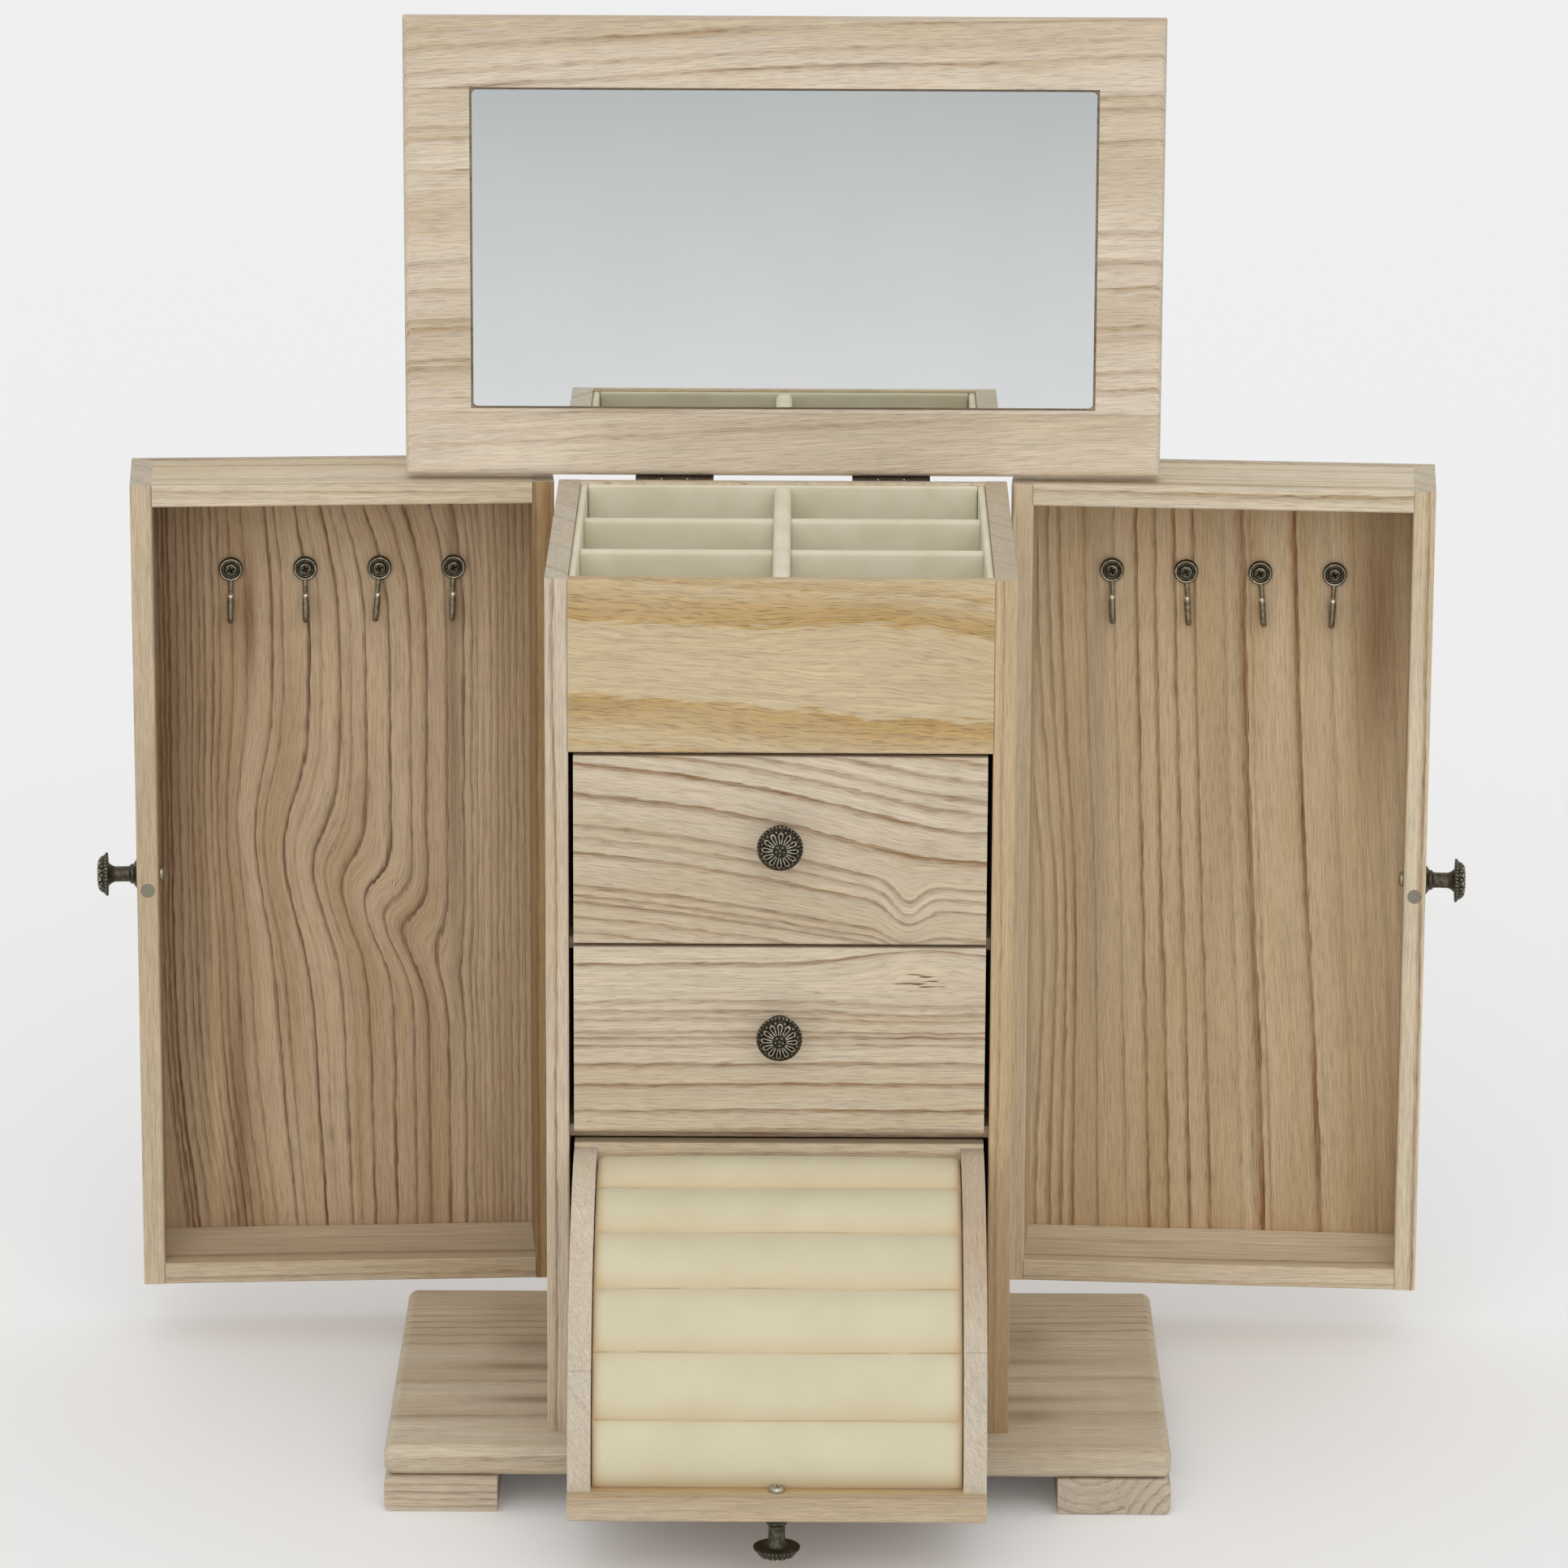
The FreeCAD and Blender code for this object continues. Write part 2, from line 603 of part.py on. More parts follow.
def drawer(bottom_z):
    """Every piece of a drawer whose front starts at a height, by the end of its name."""
    half = FRONT_W / 2
    low = bottom_z
    knob_at = FreeCAD.Vector(0, 0, low + DRAWER_FRONT_H / 2 + KNOB_RISE)
    front = board((-half, half), (0, FRONT_T), (low, low + DRAWER_FRONT_H), AXIS_X)
    back_y = INNER_BACK - DRAWER_BACK_GAP
    outer = half - DRAWER_BOX_INSET
    inner = outer - DRAWER_SIDE_T
    z = (low, low + DRAWER_BOX_H)
    above_bottom = (low + DRAWER_BOTTOM_T, low + DRAWER_BOX_H)
    lining_z = (low + DRAWER_BOTTOM_T, low + DRAWER_BOTTOM_T + LINING_T)
    sides = [board(x, (FRONT_T, back_y), z, AXIS_Y) for x in ((-outer, -inner), (inner, outer))]
    return {
        "front": front.cut(screw_hole(knob_at, FRONT_T)),
        "sides": group(sides),
        "back": board((-inner, inner), (back_y - DRAWER_SIDE_T, back_y), above_bottom, AXIS_X),
        "bottom": box((-inner, inner), (FRONT_T, back_y), (low, low + DRAWER_BOTTOM_T)),
        "lining": box((-inner, inner), (FRONT_T, back_y - DRAWER_SIDE_T), lining_z),
        "knob": facing_front(knob(), knob_at),
        "knob_screw": facing_front(knob_screw(FRONT_T), knob_at),
    }


def around_pivot(radius, angle):
    """A point at a distance from the tray's pivot, at an angle up from the closed tray's bottom board."""
    turn = math.radians(angle)
    y = TRAY_PIVOT_Y + radius * math.cos(turn)
    return FreeCAD.Vector(0, y, TRAY_PIVOT_Z + radius * math.sin(turn))


def arc_ends(radius):
    """Angles at which a circle about the pivot meets the bottom board's top and the front panel's inner face."""
    board_end = math.degrees(math.asin((TRAY_BOARD_TOP - TRAY_PIVOT_Z) / radius))
    panel_end = math.degrees(math.acos((FRONT_T - TRAY_PIVOT_Y) / radius))
    return board_end, panel_end


def curve(radius, start, end):
    """Part of a circle about the pivot."""
    points = [around_pivot(radius, a) for a in (start, (start + end) / 2, end)]
    return Part.Arc(*points).toShape()


def tray_front(knob_at):
    """Front panel whose lower front edge is rounded about the pivot, so that it turns clear of the base."""
    top = FreeCAD.Vector(0, 0, TRAY_TOP)
    face_low = around_pivot(TRAY_PIVOT_IN, 180)
    under = around_pivot(TRAY_PIVOT_IN, 270)
    back_low = FreeCAD.Vector(0, FRONT_T, under.z)
    back_top = FreeCAD.Vector(0, FRONT_T, TRAY_TOP)
    edges = [line(top, face_low), curve(TRAY_PIVOT_IN, 180, 270), line(under, back_low)]
    edges += [line(back_low, back_top), line(back_top, top)]
    panel = Part.Face(Part.Wire(edges)).extrude(FreeCAD.Vector(FRONT_W, 0, 0))
    panel.translate(FreeCAD.Vector(-FRONT_W / 2, 0, 0))
    upper = [e for e in edges_along(panel, AXIS_X) if e.BoundBox.ZMin > TRAY_TOP - EDGE_EASE]
    panel = panel.makeChamfer(EDGE_EASE, upper)
    for x in (-FRONT_W / 2, FRONT_W / 2 - TRAY_PIN_IN):
        start = FreeCAD.Vector(x, TRAY_PIVOT_Y, TRAY_PIVOT_Z)
        panel = panel.cut(rod(TRAY_PIN_R + PIN_CLEAR, TRAY_PIN_IN, start, AXIS_X))
    return panel.cut(screw_hole(knob_at, FRONT_T))


def tray_side():
    """Left quarter-round side, on the bottom board and against the front panel."""
    start, end = arc_ends(TRAY_R)
    corner = FreeCAD.Vector(0, FRONT_T, TRAY_BOARD_TOP)
    outline = [curve(TRAY_R, start, end), line(around_pivot(TRAY_R, end), corner)]
    outline.append(line(corner, around_pivot(TRAY_R, start)))
    side = Part.Face(Part.Wire(outline)).extrude(FreeCAD.Vector(TRAY_SIDE_T, 0, 0))
    side.translate(FreeCAD.Vector(-FRONT_W / 2, 0, 0))
    return side


def roll_section(x, draw):
    """Outline of the ring pad across its rolls: arcs that bulge out between the channels, drawn in by an amount."""
    valley = TRAY_R - ROLL_VALLEY_IN - draw / 2
    crest = TRAY_R - ROLL_VALLEY_IN + ROLL_CREST - draw
    inner = TRAY_R - ROLL_VALLEY_IN - ROLL_PAD_T
    start, end = arc_ends(valley)
    step = (end - start) / ROLLS
    edges = []
    for i in range(ROLLS):
        a = start + i * step
        ends = [around_pivot(valley, a), around_pivot(crest, a + step / 2), around_pivot(valley, a + step)]
        edges.append(Part.Arc(*ends).toShape())
    inner_start, inner_end = arc_ends(inner)
    edges.append(line(around_pivot(valley, end), around_pivot(inner, inner_end)))
    edges.append(curve(inner, inner_end, inner_start))
    edges.append(line(around_pivot(inner, inner_start), around_pivot(valley, start)))
    wire = Part.Wire(edges)
    wire.translate(FreeCAD.Vector(x, 0, 0))
    return wire


def ring_rolls():
    """Pad of soft rolls on a quarter round, with channels between them and drawn-in ends."""
    half = FRONT_W / 2 - TRAY_SIDE_T - ROLL_SIDE_GAP
    stations = [(half, 1.0), (half - ROLL_END_ROUND / 4, 0.45), (half - ROLL_END_ROUND, 0.0)]
    left = [roll_section(-x, draw * ROLL_END_DRAW) for x, draw in stations]
    right = [roll_section(x, draw * ROLL_END_DRAW) for x, draw in reversed(stations)]
    return Part.makeLoft(left + right, True, True)


def tray():
    """Every piece of the ring tray by the end of its name, tipped open."""
    knob_at = FreeCAD.Vector(0, 0, TRAY_KNOB_Z)
    half = FRONT_W / 2
    far = TRAY_PIVOT_Y + TRAY_R + TRAY_BOARD_PAST
    side = tray_side()
    closed = {
        "front": tray_front(knob_at),
        "bottom_board": board((-half, half), (FRONT_T, far), (TRAY_BOARD_Z, TRAY_BOARD_TOP), AXIS_X),
        "left_side": side,
        "right_side": mirrored(side),
        "ring_rolls": ring_rolls(),
        "knob": facing_front(knob(), knob_at),
        "knob_screw": facing_front(knob_screw(FRONT_T), knob_at),
    }
    return {name: opened_tray(shape) for name, shape in closed.items()}


def shelf(drawer_z):
    """Board that a drawer runs on, set back behind the fronts."""
    top = drawer_z - DRAWER_RUN_GAP
    return across((FRONT_T + SHELF_SET_BACK, INNER_BACK), (top - SHELF_T, top))


def case():
    """Every fixed piece."""
    left_panel = side_panel()
    fixed_leaf = hinge_leaf(False)
    pin = hinge_pin()
    pivot = tray_pivot_pin()
    magnet = case_magnet()
    front_panel_z = (FRONT_PANEL_BOTTOM, COLUMN_TOP)
    return {
        "base_plate": base_plate(),
        "base_feet": base_feet(),
        "left_side_panel": left_panel,
        "right_side_panel": mirrored(left_panel),
        "back_panel": across((INNER_BACK, COLUMN_D), (BASE_TOP, COLUMN_TOP)),
        "front_panel": across((0, FRONT_PANEL_T), front_panel_z),
        "compartment_floor": across((FRONT_PANEL_T, INNER_BACK), (FRONT_PANEL_BOTTOM, COMPARTMENT_FLOOR_TOP)),
        "compartment_liner": compartment_liner(),
        "compartment_dividers": compartment_dividers(),
        "upper_shelf": shelf(UPPER_DRAWER_Z),
        "lower_shelf": shelf(LOWER_DRAWER_Z),
        "case_magnets": group(both_doors([magnet])),
        "case_hinge_leaves": group(at_lid_hinges(fixed_leaf) + both_doors(at_door_hinges(fixed_leaf))),
        "hinge_pins": group(at_lid_hinges(pin) + both_doors(at_door_hinges(pin))),
        "tray_pivot_pins": group(both_doors([pivot])),
    }


def lid():
    """Every piece of the lid, turned up."""
    closed = {
        "lid_panel": lid_panel(),
        "lid_mirror": lid_mirror(),
        "lid_hinge_leaves": group(at_lid_hinges(hinge_leaf(True))),
    }
    return {name: opened_lid(shape) for name, shape in closed.items()}


def all_nodes():
    """Every piece of the box by name, grouped into what moves together."""
    door = left_door()
    return {
        "case": case(),
        "lid": lid(),
        "left_door": {"left_door_" + name: shape for name, shape in door.items()},
        "right_door": {"right_door_" + name: mirrored(shape) for name, shape in door.items()},
        "upper_drawer": {"upper_drawer_" + name: shape for name, shape in drawer(UPPER_DRAWER_Z).items()},
        "lower_drawer": {"lower_drawer_" + name: shape for name, shape in drawer(LOWER_DRAWER_Z).items()},
        "ring_tray": {"tray_" + name: shape for name, shape in tray().items()},
    }


def middle_depth(bodies):
    """Halfway from the open box's front to its back."""
    shapes = [shape for nodes in bodies.values() for shape in nodes.values()]
    return group(shapes).BoundBox.Center.y


BODIES = all_nodes()
SHIFT = FreeCAD.Vector(0, -middle_depth(BODIES), 0)
os.makedirs("parts", exist_ok=True)
for nodes in BODIES.values():
    for node, shape in nodes.items():
        shape.translate(SHIFT)
        shape.exportStep("parts/" + node + ".step")
print(sum(len(nodes) for nodes in BODIES.values()), "nodes, shifted by", round(SHIFT.y, 3), "mm front to back")
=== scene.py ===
# %% [markdown]
# # A wooden jewelry box, standing open
# The box is a column of pale paulownia wood on a wide base. Its lid, its two side doors and its ring tray are
# open, and two drawers sit between them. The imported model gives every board, hinge and knob at its true size and
# place, so this lesson adds only what makes them look real: wood grain, velvet, bronze, glass and light.

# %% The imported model
import json
import math
import bpy
import numpy as np
from mathutils import Matrix, Vector


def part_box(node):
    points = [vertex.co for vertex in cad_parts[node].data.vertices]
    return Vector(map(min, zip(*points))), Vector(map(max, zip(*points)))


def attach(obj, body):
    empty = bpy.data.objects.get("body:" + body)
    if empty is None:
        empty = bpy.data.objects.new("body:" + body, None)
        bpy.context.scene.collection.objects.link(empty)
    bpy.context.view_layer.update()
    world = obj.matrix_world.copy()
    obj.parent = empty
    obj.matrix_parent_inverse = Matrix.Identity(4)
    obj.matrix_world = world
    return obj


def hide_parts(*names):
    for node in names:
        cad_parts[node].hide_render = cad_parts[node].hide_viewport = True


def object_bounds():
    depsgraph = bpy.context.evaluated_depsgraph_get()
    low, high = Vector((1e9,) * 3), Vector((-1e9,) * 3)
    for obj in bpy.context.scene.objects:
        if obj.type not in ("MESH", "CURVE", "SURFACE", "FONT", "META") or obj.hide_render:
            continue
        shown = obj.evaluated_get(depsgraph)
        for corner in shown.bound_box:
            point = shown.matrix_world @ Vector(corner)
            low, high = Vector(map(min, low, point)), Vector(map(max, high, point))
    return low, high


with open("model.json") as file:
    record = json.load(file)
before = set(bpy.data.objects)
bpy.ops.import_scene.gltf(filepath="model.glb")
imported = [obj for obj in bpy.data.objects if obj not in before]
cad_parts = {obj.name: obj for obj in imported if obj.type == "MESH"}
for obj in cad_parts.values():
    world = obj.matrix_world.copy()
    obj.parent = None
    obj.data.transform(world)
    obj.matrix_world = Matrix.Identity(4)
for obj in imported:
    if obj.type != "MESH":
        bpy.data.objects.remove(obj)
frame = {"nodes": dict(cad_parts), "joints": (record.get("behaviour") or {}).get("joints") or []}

CAD_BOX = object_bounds()
MM = 0.001

# %% [markdown]
# ## Helpers for materials
# A colour is easiest to write as the hex value that a paint program shows. Blender wants linear light, so one
# function converts it. Node trees grow long, so one more adds a node, sets its options and joins its inputs in a
# single line. The others start a material, tint a colour, speckle a piece and close the tree with a surface.

# %% Colours and nodes
def linear(hex_colour):
    """sRGB hex to linear: each channel is c / 12.92 when dark, else ((c + 0.055) / 1.055) to the power 2.4."""
    channels = [int(hex_colour[i:i + 2], 16) / 255 for i in (1, 3, 5)]
    return tuple(c / 12.92 if c <= 0.04045 else ((c + 0.055) / 1.055) ** 2.4 for c in channels) + (1.0,)


def add(tree, kind, inputs=(), stops=(), **options):
    """One node; Math.ADD is a Math node set to ADD. Inputs come in order or by socket: a value, an output, or a node
    whose first output in use feeds the socket. Stops are a ramp's places with hex colours or grey levels."""
    kind, _, operation = kind.partition(".")
    made = tree.nodes.new("ShaderNode" + kind)
    if operation:
        made.operation = operation
    for option, value in options.items():
        setattr(made, option, value)
    for socket, value in (inputs if isinstance(inputs, dict) else dict(enumerate(inputs))).items():
        if isinstance(value, bpy.types.Node):
            value = next(out for out in value.outputs if out.enabled)
        if isinstance(value, bpy.types.NodeSocket):
            tree.links.new(value, made.inputs[socket])
        else:
            made.inputs[socket].default_value = value
    if stops:
        stops = [(place, linear(c) if isinstance(c, str) else (c, c, c, 1.0)) for place, c in stops]
        elements = made.color_ramp.elements
        elements[0].position, elements[0].color = stops[0]
        elements[1].position, elements[1].color = stops[-1]
        for place, colour in stops[1:-1]:
            elements.new(place).color = colour
    return made


def tinted(tree, share, colour, hex_colour):
    """A colour mixed by a share towards a hex colour."""
    return add(tree, "Mix", {0: share, 6: colour, 7: linear(hex_colour)}, data_type="RGBA")


def new_material(name):
    """An empty material and its node tree."""
    material = bpy.data.materials.new(name)
    material.use_nodes = True
    material.node_tree.nodes.clear()
    return material, material.node_tree


def speckle(tree, size, detail=2.0):
    """Noise fixed to the piece, with features of one size in mm."""
    place = add(tree, "TexCoord").outputs["Object"]
    return add(tree, "TexNoise", {"Vector": place, "Scale": 1 / (size * MM), "Detail": detail})


def surface(tree, colour, rough, relief, sockets):
    """The surface, joined to the material's output. Rough is a value with its range and the roughness that it is
    spread over; relief is a height with its strength and its depth in mm, or nothing."""
    sockets = {"Base Color": colour, "Roughness": add(tree, "MapRange", rough), **sockets}
    if relief:
        height, strength, depth = relief
        sockets["Normal"] = add(tree, "Bump", {"Height": height, "Strength": strength, "Distance": depth * MM})
    add(tree, "OutputMaterial", (add(tree, "BsdfPrincipled", sockets),))


print("line brown in linear light:", [round(c, 3) for c in linear("#8A7050")[:3]])

# %% [markdown]
# ## The camera
# The box was seen from almost straight ahead and a little above. A long lens keeps its upright edges nearly
# parallel. The place is measured from the column's front face and the top of the base plate.

# %% Camera
FRONT_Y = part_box("left_side_panel")[0].y
BASE_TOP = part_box("base_plate")[1].z
YAW, PITCH, ROLL = math.radians(-0.1276), math.radians(14.810), math.radians(0.24)
FOCAL_SHARE = 9196.55 / 1932
EYE = Vector((0.00767, FRONT_Y - 2.8179, BASE_TOP + 1.0131))

ahead = Vector((math.sin(YAW) * math.cos(PITCH), math.cos(YAW) * math.cos(PITCH), -math.sin(PITCH)))
level = Vector((math.cos(YAW), -math.sin(YAW), 0))
upward = level.cross(ahead)
right = level * math.cos(ROLL) + upward * math.sin(ROLL)
upward = upward * math.cos(ROLL) - level * math.sin(ROLL)

lens = bpy.data.cameras.new("long_lens")
lens.sensor_width = 36.0
lens.lens = lens.sensor_width * FOCAL_SHARE
lens.clip_end = 100
camera = bpy.data.objects.new("camera", lens)
turn = Matrix((right, upward, -ahead)).transposed().to_4x4()
camera.matrix_world = Matrix.Translation(EYE) @ turn
bpy.context.scene.collection.objects.link(camera)
bpy.context.scene.camera = camera
print("camera at", [round(c, 3) for c in EYE], "lens", round(lens.lens, 1), "mm")

# %% [markdown]
# ## Floor and light
# A studio shot has a pale paper floor and one big soft lamp among white walls. The world gives the walls' even
# light, and a sun with a wide angle stands for the lamp, straight in front and a little above. Camera, mirror and
# metal see the world as the same pale grey as the paper.

# %% Floor and light
PAPER, FAR_PAPER, SKY = "#F4F4F4", "#B9BDC0", "#EBEBEB"
SKY_LIGHT, LAMP_LIGHT, LAMP_WIDTH = 0.76, 0.92, math.radians(60)
FADE_FROM, FADE_TO, CAMERA_LIFT = -1.4, -3.6, 0.045
FLOOR_REACH, FLOOR_DROP = 40.0, 0.0002
LAMP_AIM = Vector((0.0, 0.86, -0.50))


def paper_floor():
    """Matt paper with a tooth of about 2 mm. Far in front, where the lamp falls off, the mirror sees it greyer."""
    material, tree = new_material("matt_paper")
    tooth = speckle(tree, 2.0, 1.0)
    depth = add(tree, "SeparateXYZ", (add(tree, "TexCoord").outputs["Object"],)).outputs["Y"]
    fall = add(tree, "MapRange", (depth, FADE_FROM, FADE_TO, 0.0, 1.0))
    path = add(tree, "LightPath")
    fall = add(tree, "Math.MULTIPLY", (fall, path.outputs["Is Glossy Ray"]))
    near_far = add(tree, "ValToRGB", (fall,), [(0.0, PAPER), (1.0, FAR_PAPER)])
    lift = add(tree, "Math.MULTIPLY", (path.outputs["Is Camera Ray"], CAMERA_LIFT))
    glow = {"Specular IOR Level": 0.0, "Emission Color": (1, 1, 1, 1), "Emission Strength": lift}
    surface(tree, near_far, (tooth, 0, 1, 0.85, 0.95), (), glow)
    return material


floor_mesh = bpy.data.meshes.new("paper_floor")
corners = np.array([(-1, -1), (1, -1), (1, 1), (-1, 1)]) * FLOOR_REACH
floor_mesh.from_pydata(np.c_[corners, np.full(4, CAD_BOX[0].z - FLOOR_DROP)], [], [(0, 1, 2, 3)])
floor_mesh.materials.append(paper_floor())
floor = bpy.data.objects.new("paper_floor", floor_mesh)
bpy.context.scene.collection.objects.link(floor)

world = bpy.data.worlds.new("white_walls")
world.use_nodes = True
world.node_tree.nodes.clear()
sky = world.node_tree
path = add(sky, "LightPath")
seen = add(sky, "Math.MAXIMUM", (path.outputs["Is Camera Ray"], path.outputs["Is Glossy Ray"]))
seen = add(sky, "Math.MAXIMUM", (seen, path.outputs["Is Transmission Ray"]))
walls = add(sky, "Background", {"Color": (1, 1, 1, 1), "Strength": SKY_LIGHT})
backdrop = add(sky, "Background", {"Color": linear(SKY), "Strength": 1.0})
both = add(sky, "MixShader", (seen, walls, backdrop))
add(sky, "OutputWorld", (both,))
bpy.context.scene.world = world

lamp = bpy.data.lights.new("soft_lamp", "SUN")
lamp.energy = LAMP_LIGHT
lamp.angle = LAMP_WIDTH
lamp_object = bpy.data.objects.new("soft_lamp", lamp)
lamp_object.rotation_mode = "QUATERNION"
lamp_object.rotation_quaternion = LAMP_AIM.to_track_quat("-Z", "Y")
bpy.context.scene.collection.objects.link(lamp_object)

bpy.context.scene.view_settings.view_transform = "Standard"
print("floor, world and one lamp")

# %% [markdown]
# ## Paulownia wood
# Paulownia grows fast, so its yearly lines lie 5 to 25 mm apart. Each line is sharp on the side where growth
# stopped and fades out on the other, and thin open pores run along it as short brown dashes. A picture of wood
# would be simplest, but it would repeat and show no thickness. Here each board is cut from one block of grain:
# a ring coordinate in millimetres runs across the board, bumps bend it where the real lines swing, and ramps
# turn it into lines. The ring coordinate also changes with depth, so lines carry on over the board's edges.

# %% A board's own millimetres
def about_z(turn):
    """Matrix of a turn about Z by an angle in degrees."""
    c, s = math.cos(math.radians(turn)), math.sin(math.radians(turn))
    return np.array([(c, -s, 0), (s, c, 0), (0, 0, 1)])


def turned_box(name, turn=0.0):
    """Lowest and highest corner of a node in mm, after its points are turned about Z by an angle in degrees."""
    mesh = frame["nodes"][name].data
    points = np.empty(len(mesh.vertices) * 3)
    mesh.vertices.foreach_get("co", points)
    points = points.reshape(-1, 3) / MM @ about_z(turn).T
    return points.min(0), points.max(0)


def growth_lines(seed, width):
    """Places, strengths and soft widths in mm of growth lines whose steps are drawn evenly from 6 to 26 mm."""
    draw = np.random.default_rng(seed)
    places = -30 + np.cumsum(draw.uniform(6, 26, 40))
    places = places[places < width + 30]
    return [(p, draw.uniform(0.25, 0.9), draw.uniform(2, 8)) for p in places]


def board_coordinates(tree, name, cut, turn):
    """Position in the board, in mm from its corner, reordered to along the grain, across it and into the depth, and
    the board's width. A cut such as XZ names the axes along and across the grain."""
    low, high = turned_box(name, turn)
    place = add(tree, "TexCoord").outputs["Object"]
    own = add(tree, "Mapping", {"Vector": place, "Location": -low, "Rotation": (0, 0, math.radians(turn)),
                                "Scale": (1 / MM,) * 3})
    axes = add(tree, "SeparateXYZ", (own,))
    ordered = add(tree, "CombineXYZ", [axes.outputs[a] for a in (*cut, *(set("XYZ") - set(cut)))])
    return ordered, (high - low)["XYZ".index(cut[1])]


low, high = turned_box("upper_drawer_front")
print("drawer front in mm:", (high - low).round(1))

# %% The ring coordinate
DEPTH_SHARE = 1.4
LINES_PER_RAMP = 6
WIDE_BAND = 10.0


def bell(tree, spot, along, across, reach_along, reach_across, lean=0.0):
    """exp(-(a / reach)^2 - (c / reach)^2) about a place on the board, with a shifted by lean x c."""
    a = add(tree, "VectorMath.DOT_PRODUCT", (spot, (1 / reach_along, -lean / reach_along, 0)))
    a = add(tree, "Math.SUBTRACT", (a, (along - lean * across) / reach_along))
    c = add(tree, "VectorMath.DOT_PRODUCT", (spot, (0, 1 / reach_across, 0)))
    c = add(tree, "Math.SUBTRACT", (c, across / reach_across))
    both = add(tree, "CombineXYZ", (a, c))
    far = add(tree, "VectorMath.DOT_PRODUCT", (both, both))
    return add(tree, "Math.POWER", (math.exp(-1), far))


def stretched_noise(tree, spot, sizes, shift=0.0, detail=1.0):
    """Noise whose features have the given sizes in mm along the grain, across it and in depth."""
    scaled = add(tree, "VectorMath.MULTIPLY_ADD", (spot, tuple(1 / s for s in sizes), (shift, 1.7 * shift, 0)))
    return add(tree, "TexNoise", {"Vector": scaled, "Scale": 1.0, "Detail": detail})


def ring_coordinate(tree, spot, slope, drift, ripple, bumps, joints, seed):
    """Across + slope x along + share x depth, plus slow and quick noise, plus shift x bell for each bump, plus a jump
    at each joint, where the next strip comes from another tree."""
    ring = add(tree, "VectorMath.DOT_PRODUCT", (spot, (slope, 1, DEPTH_SHARE)))
    slow = stretched_noise(tree, spot, (150, 40, 40), seed * 7.3)
    quick = stretched_noise(tree, spot, (22, 5, 5), seed)
    ring = add(tree, "Math.MULTIPLY_ADD", (slow, drift, ring))
    ring = add(tree, "Math.MULTIPLY_ADD", (quick, ripple, ring))
    ring = add(tree, "Math.SUBTRACT", (ring, (drift + ripple) / 2))
    for *place, shift, lean in bumps:
        lift = bell(tree, spot, *place, lean)
        ring = add(tree, "Math.MULTIPLY_ADD", (lift, shift, ring))
    if joints:
        side = add(tree, "SeparateXYZ", (spot,)).outputs[1]
    for place, jump in joints:
        past = add(tree, "Math.GREATER_THAN", (side, place))
        ring = add(tree, "Math.MULTIPLY_ADD", (past, jump, ring))
    return ring


def line_strength(tree, ring, lines):
    """How dark the growth lines are, 0 to 1: each swells weakly over its soft width, is darkest at its end and stops
    within half a millimetre, or the other way round where the soft width is negative. Wide bands stay dark longer.
    A ramp is only 256 steps fine, so each one spans six lines."""
    strength = None
    lines = sorted(lines)
    for start in range(0, len(lines), LINES_PER_RAMP):
        some = lines[start:start + LINES_PER_RAMP]
        first = min(place - abs(soft) for place, dark, soft in some) - 2
        span = max(place + abs(soft) for place, dark, soft in some) + 2 - first
        share = add(tree, "MapRange", (ring, first, first + span, 0.0, 1.0))
        stops = [(0.0, 0)]
        for place, dark, soft in some:
            knee, stop = (0.35, 0.5) if abs(soft) < WIDE_BAND else (0.75, 1.5)
            curve = [(-abs(soft), 0), (-0.55 * abs(soft), knee), (-0.2 * abs(soft), 1), (0, 1), (stop, 0)]
            curve = curve if soft > 0 else [(-away, level) for away, level in curve[::-1]]
            for away, level in curve:
                here = max((place + away - first) / span, stops[-1][0] + 1e-4)
                stops.append((here, dark * level))
        ramp = add(tree, "ValToRGB", (share,), stops + [(1.0, 0)])
        strength = ramp if strength is None else add(tree, "Math.MAXIMUM", (strength, ramp))
    return strength


print("ring coordinate: across + slope x along +", DEPTH_SHARE, "x depth")

# %% Cut ends, stains, painted light and shade, and knots
PORE, STAIN_AND_SHADE, KNOT, END_GRAIN_AND_SKYLIGHT = "#73563A", "#6F563B", "#5A3B22", "#C2B8A6"
CREAM = ("#D6C7AD", "#CBB898", "#8F7150")
# features in mm along the grain, across it and in depth
TEAR, FADING, FIBRE, DASH = (12, 1.2, 1.2), (80, 15, 15), (30, 0.65, 0.65), (9, 0.5, 0.5)
STREAK, CRACK, BAND_LENGTH, GLUE_WIDTH = (70, 2.2, 2.2), (13, 1.0, 1.0), 260, 0.35


def cut_ends_and_skylight(tree, colour, grain):
    """Greyer wood where a face looks along the grain, because open pores scatter the light. On the upright boards
    those faces are the tops, and there the grey-blue is also painted skylight.
    """
    facing = [float(axis == grain) for axis in "XYZ"]
    normal = add(tree, "TexCoord").outputs["Normal"]
    end = add(tree, "VectorMath.DOT_PRODUCT", (normal, facing))
    end = add(tree, "Math.ABSOLUTE", (end,))
    end = add(tree, "MapRange", (end, 0.5, 0.9, 0.0, 0.6))
    return tinted(tree, end, colour, END_GRAIN_AND_SKYLIGHT)


